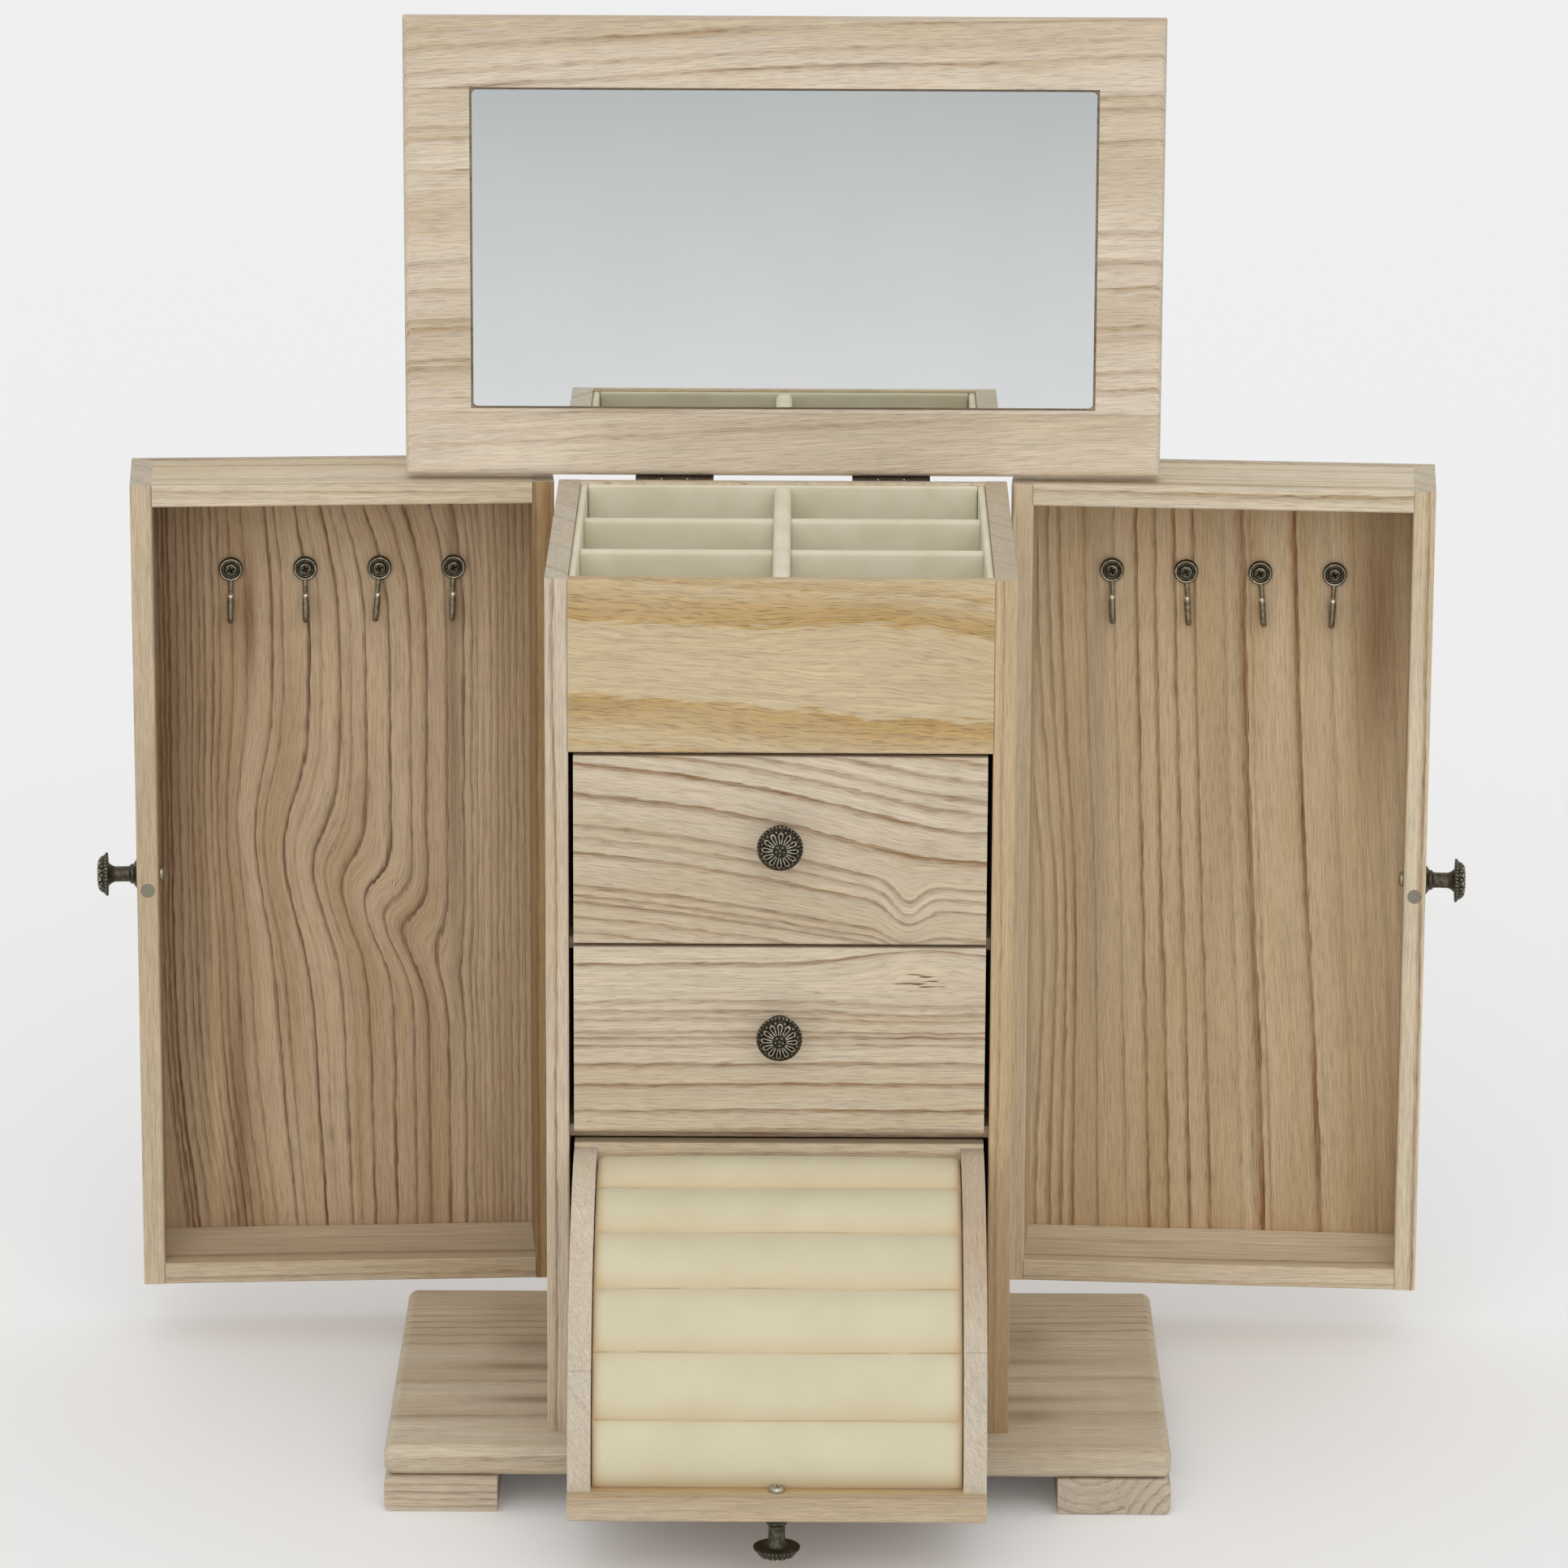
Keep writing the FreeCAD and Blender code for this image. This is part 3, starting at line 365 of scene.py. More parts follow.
def marked(tree, spot, colour, fibre, stains, knots, seed):
    """Stains are bells of a place and a reach, broken up by the fibres; some of them are painted shade and some
    painted light, not stains in the wood. Knots are bells broken into cracks.
    """
    for *place, amount, shade in stains:
        patch = bell(tree, spot, *place)
        patch = add(tree, "Math.MULTIPLY", (patch, fibre))
        patch = add(tree, "Math.MULTIPLY", (patch, 2 * amount), use_clamp=True)
        colour = tinted(tree, patch, colour, shade)
    for place in knots:
        patch = bell(tree, spot, *place)
        crack = stretched_noise(tree, spot, CRACK, seed * 5.0)
        patch = add(tree, "Math.MULTIPLY_ADD", (patch, 0.3, crack))
        patch = add(tree, "MapRange", (patch, 0.77, 0.85, 0.0, 0.9))
        colour = tinted(tree, patch, colour, KNOT)
    return colour


print("colours of stains and knots:", STAIN_AND_SHADE, KNOT)

# %% The wood material
def finish_node(name, material):
    """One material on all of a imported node."""
    frame["nodes"][name].data.materials.clear()
    frame["nodes"][name].data.materials.append(material)


def paulownia(name, cut, seed, tones=CREAM, lines=None, bumps=(), joints=(), stains=(), knots=(), ends=(), turn=0.0,
              slope=0.0, drift=6.0, ripple=1.1, ragged=1.6, fade=0.3, band=30.0):
    """Brushed, unvarnished paulownia: matt, pale, silky along the grain, with short brown pores. Tones are the pale
    wood, its warmer bands and the growth lines, which fade by a share here and there."""
    material, tree = new_material("paulownia_" + name)
    spot, width = board_coordinates(tree, name, cut, turn)
    ring = ring_coordinate(tree, spot, slope, drift, ripple, bumps, joints, seed)
    axes = add(tree, "SeparateXYZ", (spot,))
    # where a block is glued on with its end to the front, the rings are circles about the tree's middle
    for start, along, depth in ends:
        away = add(tree, "VectorMath.MULTIPLY_ADD", (spot, (1, 0, 1), (-along, 0, -depth)))
        away = add(tree, "VectorMath.LENGTH", (away,))
        past = add(tree, "Math.GREATER_THAN", (axes.outputs[0], start))
        ring = add(tree, "Mix", {0: past, 2: ring, 3: away})
    lines = growth_lines(seed, width) if lines is None else lines
    torn = add(tree, "Math.MULTIPLY_ADD", (stretched_noise(tree, spot, TEAR, seed * 2.3), ragged, -ragged / 2))
    strength = line_strength(tree, add(tree, "Math.ADD", (ring, torn)), lines)
    weak = stretched_noise(tree, spot, FADING, seed * 4.0)
    weak = add(tree, "MapRange", (weak, 0.38, 0.58, 1 - fade, 1.0))
    strength = add(tree, "Math.MULTIPLY", (strength, weak))
    # fibres, pores, streaks and bands follow the rings
    flow = add(tree, "CombineXYZ", (axes.outputs[0], ring, axes.outputs[2]))
    fibre = stretched_noise(tree, flow, FIBRE, seed, 2.0)
    pore = stretched_noise(tree, flow, DASH, seed * 2.0)
    pore = add(tree, "MapRange", (pore, 0.55, 0.66, 0.0, 1.0))
    tone = stretched_noise(tree, flow, (BAND_LENGTH, band, band), seed * 3.1, 2.0)
    streak = stretched_noise(tree, flow, STREAK, seed * 1.7, 2.0)
    tone = add(tree, "Math.MULTIPLY_ADD", (streak, 0.7, tone))
    tone = add(tree, "ValToRGB", (tone,), [(0.74, tones[0]), (1.0, tones[1])])
    dark = add(tree, "MapRange", (fibre, 0.3, 0.7, 0.55, 1.2))
    dark = add(tree, "Math.MULTIPLY", (dark, strength), use_clamp=True)
    colour = tinted(tree, dark, tone, tones[2])
    specks = add(tree, "Math.MULTIPLY_ADD", (strength, 0.55, 0.18))
    specks = add(tree, "Math.MULTIPLY", (specks, pore))
    colour = cut_ends_and_skylight(tree, tinted(tree, specks, colour, PORE), cut[0])
    colour = marked(tree, spot, colour, fibre, stains, knots, seed)
    silk = add(tree, "Math.ADD", (streak, fibre))
    silk = add(tree, "MapRange", (silk, 0.65, 1.35, 0.80, 1.18))
    for place, jump in joints:
        near = add(tree, "Math.COMPARE", (axes.outputs[1], place, GLUE_WIDTH))
        near = add(tree, "Math.MULTIPLY_ADD", (near, -0.16, 1.0))
        silk = add(tree, "Math.MULTIPLY", (silk, near))
    colour = add(tree, "VectorMath.SCALE", {0: colour, 3: silk})
    relief = add(tree, "Math.MULTIPLY_ADD", (pore, -1.2, fibre))
    surface(tree, colour, (fibre, 0.3, 0.7, 0.80, 0.64), (relief, 0.6, 0.15), {"Specular IOR Level": 0.3})
    finish_node(name, material)


print("wood ready, pores", PORE)

# %% [markdown]
# ## The boards
# No two boards match. The large ones get the lines that the real ones show, each as a place across the board in mm, a
# strength and a soft width; small ones draw theirs from a seed. Pale boards are sapwood, and the door backs come from
# the browner heart of the tree.

# %% Every board's grain
# degrees that turn the open doors square to the axes
LEFT_TURN, RIGHT_TURN = -4.0, 4.0
GOLD = ("#C8B593", "#C1AC86", "#AE8538")
DRAWER = ("#CEBFA7", "#C1AF93", "#7F5B36")
LEFT_HEART = ("#C5AD8F", "#B09574", "#56371B")
RIGHT_HEART = ("#CDB797", "#BEA580", "#7A4F24")
BROWN = ("#AE9069", "#A0825A", "#66472A")
boards = {
    "lid_panel": dict(cut="XZ", tones=("#DCCDB8", "#C9B79C", "#8E6E45"), slope=-0.05, band=35, fade=0.6,
        # the pale bell along the lower strip is partly a paler board and partly painted light against the lamp's shade
        # there
        joints=[(26.6, 31.0), (160.5, 44.0)], stains=[(155, 13, 260, 14, 0.35, "#E2D4BE")],
        lines=[(13.4, 0.5, 3), (17.5, 0.3, 3), (23, 0.3, 4), (54.3, 0.6, 3), (62, 0.35, 4), (76, 0.45, 4),
        (79.5, 0.6, 3), (92.5, 0.45, 4), (96, 0.7, 3), (108, 0.45, 7), (120, 0.35, 6), (157.5, 0.5, 4), (171, 0.4, 3),
        (175.5, 0.4, 3), (236, 0.7, 3), (243, 0.3, 4), (253.5, 0.75, 4), (261, 0.3, 4)]),
    "front_panel": dict(cut="XZ", tones=GOLD, slope=0.064, band=60, drift=8, ripple=3, ragged=9,
        fade=0.25, bumps=[(125, 50, 40, 16, -6, 0)],
        lines=[(23.6, 0.7, 17), (5, 0.4, 6), (54.5, 0.7, -14), (69, 0.45, -7)]),
    "upper_drawer_front": dict(cut="XZ", tones=DRAWER, slope=0.095, drift=2,
        bumps=[(155, 40, 72, 48, 13, 0), (131, 13, 8, 14, 10, 0)],
        lines=[(5, 0.6, 2), (11.5, 0.55, 2.5), (17.5, 0.65, 2.5), (20.3, 0.6, 2.5), (24.3, 0.6, 3), (37.6, 0.75, 3),
        (43.6, 0.6, 3), (48.8, 0.65, 3.5), (61.7, 0.9, 4), (73.5, 0.9, 3), (80.3, 0.65, 3), (85, 0.6, 3),
        (91, 0.6, 3), (97, 0.5, 3)]),
    "lower_drawer_front": dict(cut="XZ", tones=DRAWER, slope=-0.006, drift=2,
        bumps=[(138, 71, 30, 9, -6, 0), (138, 52, 34, 9, 2.2, 0)], knots=[(137, 62, 13, 3.5)],
        lines=[(1, 0.5, 2), (8.9, 0.85, 2.5), (19.7, 0.8, 2.5), (28.3, 0.8, 3), (35.8, 0.65, 2), (39.2, 0.8, 2.5),
        (41.4, 0.65, 2), (46.8, 0.45, 2.5), (50, 0.5, 3), (54, 0.4, 3), (69, 0.8, 2.5)]),
    "tray_front": dict(cut="XY", tones=("#C2B29B", "#B8A588", "#816547"),
        # the golden bell on the top face is partly the wood's golden tone and partly painted light against the rolls'
        # shade
        stains=[(85, 12, 200, 8, 0.6, "#D2AE70")]),
    "tray_bottom_board": dict(cut="XZ"),
    "tray_left_side": dict(cut="YZ", tones=("#D4C6B1", "#CBBCA4", "#A68D70"), slope=0.5,
        joints=[(45, 70)],
        lines=[(20, 0.3, 4), (45, 0.35, 4), (70, 0.3, 4), (84, 0.35, 4), (98, 0.3, 4), (112, 0.3, 4)]),
    "tray_right_side": dict(cut="YZ", tones=("#D8CBB7", "#CEC0AA", "#9C8262"), slope=-0.5,
        joints=[(52, 70)], stains=[(60, 88, 90, 30, 0.5, "#A58460")],
        lines=[(8, 0.3, 4), (25, 0.3, 4), (44, 0.35, 4), (60, 0.35, 3), (75, 0.35, 3), (90, 0.35, 3)]),
    "left_side_panel": dict(cut="ZY", tones=("#CEBEA9", "#C3B094", "#896C4E")),
    "right_side_panel": dict(cut="ZY", tones=("#C6AE8C", "#BAA07A", "#856443"),
        # painted shade: the dark bell darkens the front edge low down, beside the tray
        stains=[(15, 0, 85, 60, 0.6, "#977A58")]),
    "back_panel": dict(cut="ZX"),
    "base_plate": dict(cut="XY", tones=("#D0C3AD", "#C2B298", "#7F6447"), slope=-0.03,
        lines=[(10, 0.3, 8), (55, 0.4, 9), (97, 0.45, 9), (143, 0.4, 4), (153.5, 0.65, 3), (163, 0.6, 3),
        (171, 0.6, 3), (179, 0.55, 3), (187, 0.45, 3)],
        # the dark bells beside the column are partly darker grain and partly painted shade where the column stands on
        # the base
        stains=[(58, 57, 22, 5, 0.6, STAIN_AND_SHADE), (55, 97, 25, 4.5, 0.55, STAIN_AND_SHADE), (55, 125, 14, 14, 0.45, STAIN_AND_SHADE),
        (50, 165, 20, 16, 0.35, STAIN_AND_SHADE), (255, 60, 30, 4.5, 0.5, STAIN_AND_SHADE), (255, 106, 35, 4.5, 0.5, STAIN_AND_SHADE),
        (258, 40, 12, 8, 0.5, STAIN_AND_SHADE), (258, 132, 12, 18, 0.4, STAIN_AND_SHADE), (270, 0, 50, 9, 0.22, "#8A6C4A"),
        (285, 110, 45, 120, 0.25, "#DCCFB8"), (35, 170, 50, 35, 0.3, "#DCC7A4")]),
    "base_feet": dict(cut="XY", tones=("#CFC3B1", "#C5B49C", "#8A6C48"), drift=3,
        ends=[(200, 281, 28), (295, 330, -14)], stains=[(290, 0, 40, 300, 0.3, "#8F7F68")],
        lines=[(4.3 * i - 10, 0.35 + 0.1 * (i * 7 % 4), 2) for i in range(18)]),
    "compartment_floor": dict(cut="XY"),
    "upper_shelf": dict(cut="XY"),
    "lower_shelf": dict(cut="XY"),
    "left_door_back_panel": dict(cut="ZX", tones=LEFT_HEART, turn=LEFT_TURN, drift=2, band=20,
        bumps=[(172, 66, 36, 26, 12, -0.6), (143, 106, 17, 22, 11, -0.75), (350, 98, 40, 40, 16, 0),
        (-10, 40, 70, 45, -11, 0)], knots=[(161, 108, 4, 2)],
        stains=[(200, 22, 170, 13, 0.3, "#6B4D30"), (160, 155, 260, 14, 0.25, "#CFB898"),
        (275, 48, 30, 3, 0.7, "#7A5633"), (250, 12, 130, 6, 0.35, "#5F4227"), (70, 31, 110, 2.5, 0.6, "#CDB08A"),
        (40, 41, 70, 3, 0.5, "#6A4A2C"), (240, 133, 130, 2.5, 0.5, "#5F4227"), (200, 146, 200, 2, 0.5, "#CDB595"),
        # the last bell darkens the panel along its bottom edge, by the bottom rail
        (0, 87, 11, 300, 0.4, "#7A5230")],
        lines=[(10.5, 0.7, 2), (12.5, 0.8, 2), (14.5, 0.95, 2), (18, 0.65, 2), (21.5, 0.55, 2), (24, 0.75, 2),
        (27, 0.6, 2), (29.5, 0.75, 2), (33, 0.85, 2), (36, 0.6, 2), (41, 0.55, 2), (47, 0.45, 2), (57.5, 0.85, 2),
        (62, 0.55, 1.6), (73, 0.95, 2.2), (78, 0.3, 1.6), (86, 0.85, 2.2), (90.5, 0.4, 1.6), (97, 0.8, 2),
        (107, 0.85, 2), (115.5, 0.65, 2), (122, 0.8, 2.5), (130.5, 0.75, 2), (137.5, 0.85, 2), (141, 0.6, 1.8),
        (143.5, 0.5, 1.8), (146, 0.65, 1.8), (149, 0.55, 1.8), (152, 0.65, 1.8), (154.5, 0.5, 1.8), (157, 0.7, 1.8),
        (160, 0.7, 1.8), (163, 0.6, 1.8), (167, 0.65, 1.8), (171, 0.5, 1.8)]),
    "right_door_back_panel": dict(cut="ZX", tones=RIGHT_HEART, turn=RIGHT_TURN, slope=0.03, drift=2, band=22,
        bumps=[(0, 150, 200, 70, -9, 0), (140, 12, 75, 20, -7, 0)],
        # painted light: the pale bells by the hinge stile and by the knob stile lighten the panel where the door's
        # walls shade it
        stains=[(160, 14, 220, 14, 0.4, "#DAC7A6"), (210, 35, 150, 5, 0.35, "#A8998C"),
        (275, 152, 55, 9, 0.7, "#7A5633"), (120, 155, 120, 16, 0.35, "#DAC5A2"), (230, 88, 140, 8, 0.2, "#8A6C4A"),
        # the last bell darkens the panel along its bottom edge, by the bottom rail
        (0, 87, 10, 300, 0.4, "#94683A")],
        lines=[(12, 0.9, 3), (18, 1.0, 3.5), (23, 0.95, 3.5), (28, 1.0, 3), (38.3, 0.7, 1.5), (50.6, 0.4, 2),
        (60, 0.85, 2.5), (67.6, 0.8, 2.5), (75.6, 0.8, 2.5), (83.4, 0.75, 2.5), (96, 0.3, 4), (104.3, 0.9, 6),
        (107, 0.4, 2), (126, 0.95, 4), (140, 0.25, 4), (150, 0.3, 3), (158, 0.3, 3), (166, 0.3, 3), (174, 0.3, 3)]),
}
print(len(boards), "boards with a cut of their own")

# %% Boards of the drawers and the doors' frames
for drawer in ("upper_drawer_", "lower_drawer_"):
    boards[drawer + "sides"] = dict(cut="YZ")
    boards[drawer + "back"] = dict(cut="XZ")
    boards[drawer + "bottom"] = dict(cut="XY")
for door, swing in (("left_door_", LEFT_TURN), ("right_door_", RIGHT_TURN)):
    boards[door + "top_rail"] = dict(cut="XY", turn=swing)
    boards[door + "bottom_rail"] = dict(cut="XY", turn=swing)
    boards[door + "hinge_stile"] = dict(cut="ZY", turn=swing)
    boards[door + "knob_stile"] = dict(cut="ZY", turn=swing)
boards["left_door_hinge_stile"]["tones"] = BROWN
boards["left_door_knob_stile"]["tones"] = ("#C7B59A", "#BCA787", "#846647")
# painted light: the pale bells lighten the bottom rails' inner faces, which lie in the shade of the door's walls
boards["left_door_bottom_rail"].update(
    tones=("#C8B79E", "#BDAA8C", "#846647"), stains=[(87, 40, 300, 24, 0.6, "#DCCBB2")])
boards["right_door_bottom_rail"]["stains"] = [(87, 40, 300, 24, 0.7, "#F0E4CE")]
boards["right_door_top_rail"]["tones"] = ("#DCCFB8", "#D2C2A6", "#A58A66")
boards["right_door_hinge_stile"]["tones"] = ("#D6C4A8", "#CBB692", "#8C6E4E")
for number, (name, look) in enumerate(boards.items(), 1):
    paulownia(name, seed=number, **look)
print(len(boards), "boards of wood")

# %% [markdown]
# ## Pieces from arrays
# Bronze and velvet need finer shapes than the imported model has. Each one is worked out as a grid of points: rows
# run along the shape and columns across or around it. Spheres and cubes that are pushed into shape by hand would
# do as well, but a grid has its formula written down and can be made finer by one number.

# %% Grids to mesh objects
import bmesh

MERGE = 2e-6


def squares(rows, columns, around):
    """Corner numbers of the squares of a grid, row by row; around joins the last column to the first."""
    r, c = np.meshgrid(np.arange(rows - 1), np.arange(columns if around else columns - 1), indexing="ij")
    after = (c + 1) % columns
    corners = (r * columns + c, r * columns + after, (r + 1) * columns + after, (r + 1) * columns + c)
    return np.stack(corners, -1).reshape(-1, 4)


def new_piece(name, grids, material, body, stands_for=(), sharp=40.0):
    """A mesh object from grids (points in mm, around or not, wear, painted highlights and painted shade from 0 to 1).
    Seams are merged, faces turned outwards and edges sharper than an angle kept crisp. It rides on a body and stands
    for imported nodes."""
    points, faces, wear_and_painted_light, count = [], [], [], 0
    for grid, around, wear_and_light in grids:
        rows, columns = grid.shape[:2]
        points.append(grid.reshape(-1, 3) * MM)
        faces.append(squares(rows, columns, around) + count)
        wear_and_painted_light.append(np.broadcast_to(wear_and_light, (rows, columns)).reshape(-1))
        count += rows * columns
    mesh = bpy.data.meshes.new(name)
    mesh.from_pydata(np.concatenate(points), [], np.concatenate(faces).tolist())
    mesh.attributes.new("wear_and_painted_light", "FLOAT", "POINT").data.foreach_set("value", np.concatenate(wear_and_painted_light).astype(np.float32))
    shell = bmesh.new()
    shell.from_mesh(mesh)
    bmesh.ops.remove_doubles(shell, verts=shell.verts, dist=MERGE)
    bmesh.ops.recalc_face_normals(shell, faces=shell.faces)
    shell.to_mesh(mesh)
    shell.free()
    mesh.shade_smooth()
    mesh.set_sharp_from_angle(angle=math.radians(sharp))
    mesh.materials.append(material)
    made = bpy.data.objects.new(name, mesh)
    bpy.context.scene.collection.objects.link(made)
    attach(made, body)
    if stands_for:
        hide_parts(*stands_for)
    return made


print("a 4 x 3 grid has", len(squares(4, 3, False)), "squares")

# %% Turned profiles
FINE = 0.05


def rounded_path(corners, step, soft):
    """Points every step mm along straight runs; each then moves to the mean of its neighbours within soft mm,
    which rounds the corners."""
    corners = np.array(corners, float)
    length = np.r_[0, np.cumsum(np.hypot(*np.diff(corners, axis=0).T))]
    fine = np.linspace(0, length[-1], int(length[-1] / FINE) + 1)
    path = np.stack([np.interp(fine, length, corners[:, i]) for i in (0, 1)], -1)
    reach = max(int(soft / FINE), 1)
    padded = np.pad(path, ((reach, reach), (0, 0)), mode="reflect", reflect_type="odd")
    window = np.ones(2 * reach + 1) / (2 * reach + 1)
    mean = np.stack([np.convolve(padded[:, i], window, "valid") for i in (0, 1)], -1)
    take = np.linspace(0, len(fine) - 1, int(length[-1] / step) + 1).round().astype(int)
    return mean[take].round(9)


def angles(around):
    """Even angles over a full turn."""
    return np.arange(around) * math.tau / around


def turned(path, around, lift=0.0):
    """A path of (radius, height) turned about Z, each point moved by lift along the path's outward normal."""
    run = np.gradient(path, axis=0)
    run /= np.hypot(*run.T)[:, None] + 1e-9
    radius = path[:, :1] + run[:, 1:] * lift
    height = path[:, 1:] - run[:, :1] * lift
    angle = angles(around)
    radius, height = np.broadcast_arrays(radius, height + 0 * angle)
    return np.stack([radius * np.sin(angle), radius * np.cos(angle), height], -1)


def stand(grids, axis, up, place, turn=0.0):
    """Grids made on Z, with Y upwards, turned to an axis, moved to a place in mm and swung back with a door."""
    axis, up = np.array(axis, float), np.array(up, float)
    frame_axes = np.stack([np.cross(up, axis), up, axis])
    return [((points @ frame_axes + place) @ about_z(turn), around, wear_and_light) for points, around, wear_and_light in grids]


print("a path round a corner has", len(rounded_path([(0, 0), (5, 0), (5, 5)], 0.5, 0.3)), "points")

# %% [markdown]
# ## Antique bronze and steel
# The knobs and hooks are cast, plated, darkened and then rubbed, so the hollows stay nearly black and the ridges
# shine. Each grid carries a wear value that says how far a point stands proud, and a ramp turns it into colour and
# gloss. The same value also carries painted light: painted highlights on the knobs' petals, the hooks' rims and
# the prongs' tips, and painted shade in the crosses of the steel screws. A noise of a millimetre or so keeps the
# patina uneven.

# %% Metals
def rubbed_metal_with_painted_light(name, stops, polish=0.30):
    """Cast metal with a dark patina that is rubbed off where it stands proud, with painted highlights and painted
    shade taken from the same value: soft gloss, never a clean mirror.
    """
    material, tree = new_material(name)
    wear_and_light = add(tree, "Attribute", attribute_name="wear_and_painted_light").outputs["Fac"]
    # patina blotches of about 1.5 mm and a casting grain of 0.25 mm
    blotch, grain = speckle(tree, 1.5), speckle(tree, 0.25, 1.0)
    uneven = add(tree, "MapRange", (blotch, 0.3, 0.7, -0.12, 0.12))
    level = add(tree, "Math.ADD", (wear_and_light, uneven), use_clamp=True)
    colour = add(tree, "ValToRGB", (level,), stops)
    surface(tree, colour, (level, 0, 1, 0.52, polish), (grain, 0.2, 0.05), {"Metallic": 0.9})
    return material


BRONZE = rubbed_metal_with_painted_light("antique_bronze", [(0.0, "#1D1A14"), (0.35, "#545042"), (0.65, "#9C947F"), (1.0, "#EFE8D6")])
STEEL = rubbed_metal_with_painted_light("zinc_plated_steel", [(0.0, "#3B372F"), (0.5, "#8C8576"), (1.0, "#D9D4C6")], 0.24)
print("two rubbed metals")

# %% [markdown]
# ## Knobs
# Each knob is a small casting: a flared foot with a ring, a waisted stem and a cap with a beaded rim. Its face has
# twelve looped petals round a disc of six dots, with a dot between each two petals and a leaf tip below it. A lathe
# profile gives the body. The ornament is a height over radius and angle, added along the profile's normal, so it
# follows the cap where it bends over.

# %% The knob's shape
KNOB_BODY = [(0, 0), (6.1, 0), (6.1, 0.6), (4.6, 1.7), (4.05, 1.9), (4.3, 2.5), (4.0, 3.1), (3.3, 3.5), (3.2, 6.0),
             (3.25, 9.6), (3.6, 10.6), (4.3, 11.6), (5.0, 12.2), (8.6, 12.4), (9.0, 12.5)]
KNOB_CAP = [(9.0, 12.5), (9.0, 13.1), (8.3, 13.8), (7.4, 15.0), (6.5, 15.95), (5.6, 16.35), (3.0, 16.7), (0, 16.8)]
PETALS, PETAL_END, PETAL_HALF, PHASE = 12, 6.0, 0.82, 0.05


def hump(distance, width):
    """exp(-(distance / width)^2): 1 at no distance and about a third at one width."""
    return np.exp(-(distance / width) ** 2)


def petal_relief(radius, angle):
    """Height in mm of the face: loops of two straight legs and a round end, dots and rim beads, each a hump over
    the distance from its line or middle, and flat leaf tips."""
    sector = math.tau / PETALS
    side = (angle + sector / 2 - PHASE) % sector - sector / 2
    v = radius * np.sin(side)
    half_width = np.interp(radius, (2.9, PETAL_END), (0.28, PETAL_HALF))
    leg = np.abs(np.abs(v) - half_width)
    loop = np.abs(np.hypot(radius - PETAL_END, v) - PETAL_HALF)
    ridge = 0.36 * hump(np.where(radius > PETAL_END, loop, leg), 0.24) * (radius > 2.8)
    gap = (angle - PHASE) % sector - sector / 2
    dot = 0.34 * hump(np.hypot(radius - 7.2, radius * np.sin(gap)), 0.34)
    fifth = math.tau / 5
    spot = (angle - 0.66 + fifth / 2) % fifth - fifth / 2
    x, y = radius * np.cos(spot), radius * np.sin(spot)
    middle = 0.30 * hump(np.hypot(x - 1.6, y), 0.33) + 0.30 * hump(radius, 0.33)
    leaf = 0.10 * np.clip((0.55 * (8.5 - radius) - np.abs(v)) / 0.15, 0, 1) * (radius > 7.2)
    bead = 0.26 * hump(radius - 8.72, 0.3) * np.clip(np.cos(36 * angle), 0, 1) ** 0.6
    return ridge + dot + middle + leaf + bead


def knob_grids(around=240):
    """The stem and foot as one turned grid and the ornamented cap as another, on Z from the foot."""
    body, cap = rounded_path(KNOB_BODY, 0.5, 0.3), rounded_path(KNOB_CAP, 0.15, 0.3)
    cap[0] = body[-1]
    lift = petal_relief(cap[:, :1], angles(around))
    lift[0] = lift[-1] = 0
    # the ridges are paler partly as rubbed wear and partly as painted highlights
    wear_and_light = np.interp(cap[:, :1], (2.6, 3.2, 6.8, 7.6), (0.10, 0.0, 0.0, 0.13)) + 2.4 * lift
    return [(turned(body, around), True, 0.33), (turned(cap, around, lift), True, wear_and_light)]


print("knob", 2 * KNOB_CAP[0][0], "mm wide and", KNOB_CAP[-1][1], "mm long")

# %% Knobs in place
def box_face(name, axis, turn=0.0):
    """Middle of a node's box on the side that lies against an axis, in mm: where a knob's foot sits."""
    low, high = turned_box(name, turn)
    return np.where(np.array(axis) > 0, low, np.where(np.array(axis) < 0, high, (low + high) / 2))


FRONT, UPRIGHT = (0, -1, 0), (0, 0, 1)
KNOBS = {"upper_drawer": (FRONT, UPRIGHT, 0), "lower_drawer": (FRONT, UPRIGHT, 0), "tray": ((0, 0, -1), FRONT, 0),
         "left_door": ((-1, 0, 0), UPRIGHT, LEFT_TURN), "right_door": ((1, 0, 0), UPRIGHT, RIGHT_TURN)}
for part, (axis, up, turn) in KNOBS.items():
    grids = stand(knob_grids(), axis, up, box_face(part + "_knob", axis, turn), turn)
    body = "ring_tray" if part == "tray" else part
    knob = new_piece(part + "_turned_knob", grids, BRONZE, body, [part + "_knob"], sharp=60)
print(len(KNOBS), "knobs of", len(knob.data.polygons), "faces")

# %% [markdown]
# ## Screws
# A pan-head screw holds each knob from inside. Its head is a turned dome with a cross driven into it; the cross is
# a height that is taken away where a point lies within either slot.

# %% Knob screws
HEAD_HEIGHT = 2.2


def cross_recess(path, around, depth, reach, width, turn=0.4):
    """Depth below the head at each point: full within half a slot's width of either axis, out to the reach."""
    angle = angles(around) + turn
    x, y = path[:, :1] * np.cos(angle), path[:, :1] * np.sin(angle)
    narrow, far = np.minimum(np.abs(x), np.abs(y)), np.maximum(np.abs(x), np.abs(y))
    return -depth * np.clip((width - narrow) / 0.15, 0, 1) * np.clip((reach - far) / 0.3, 0, 1)


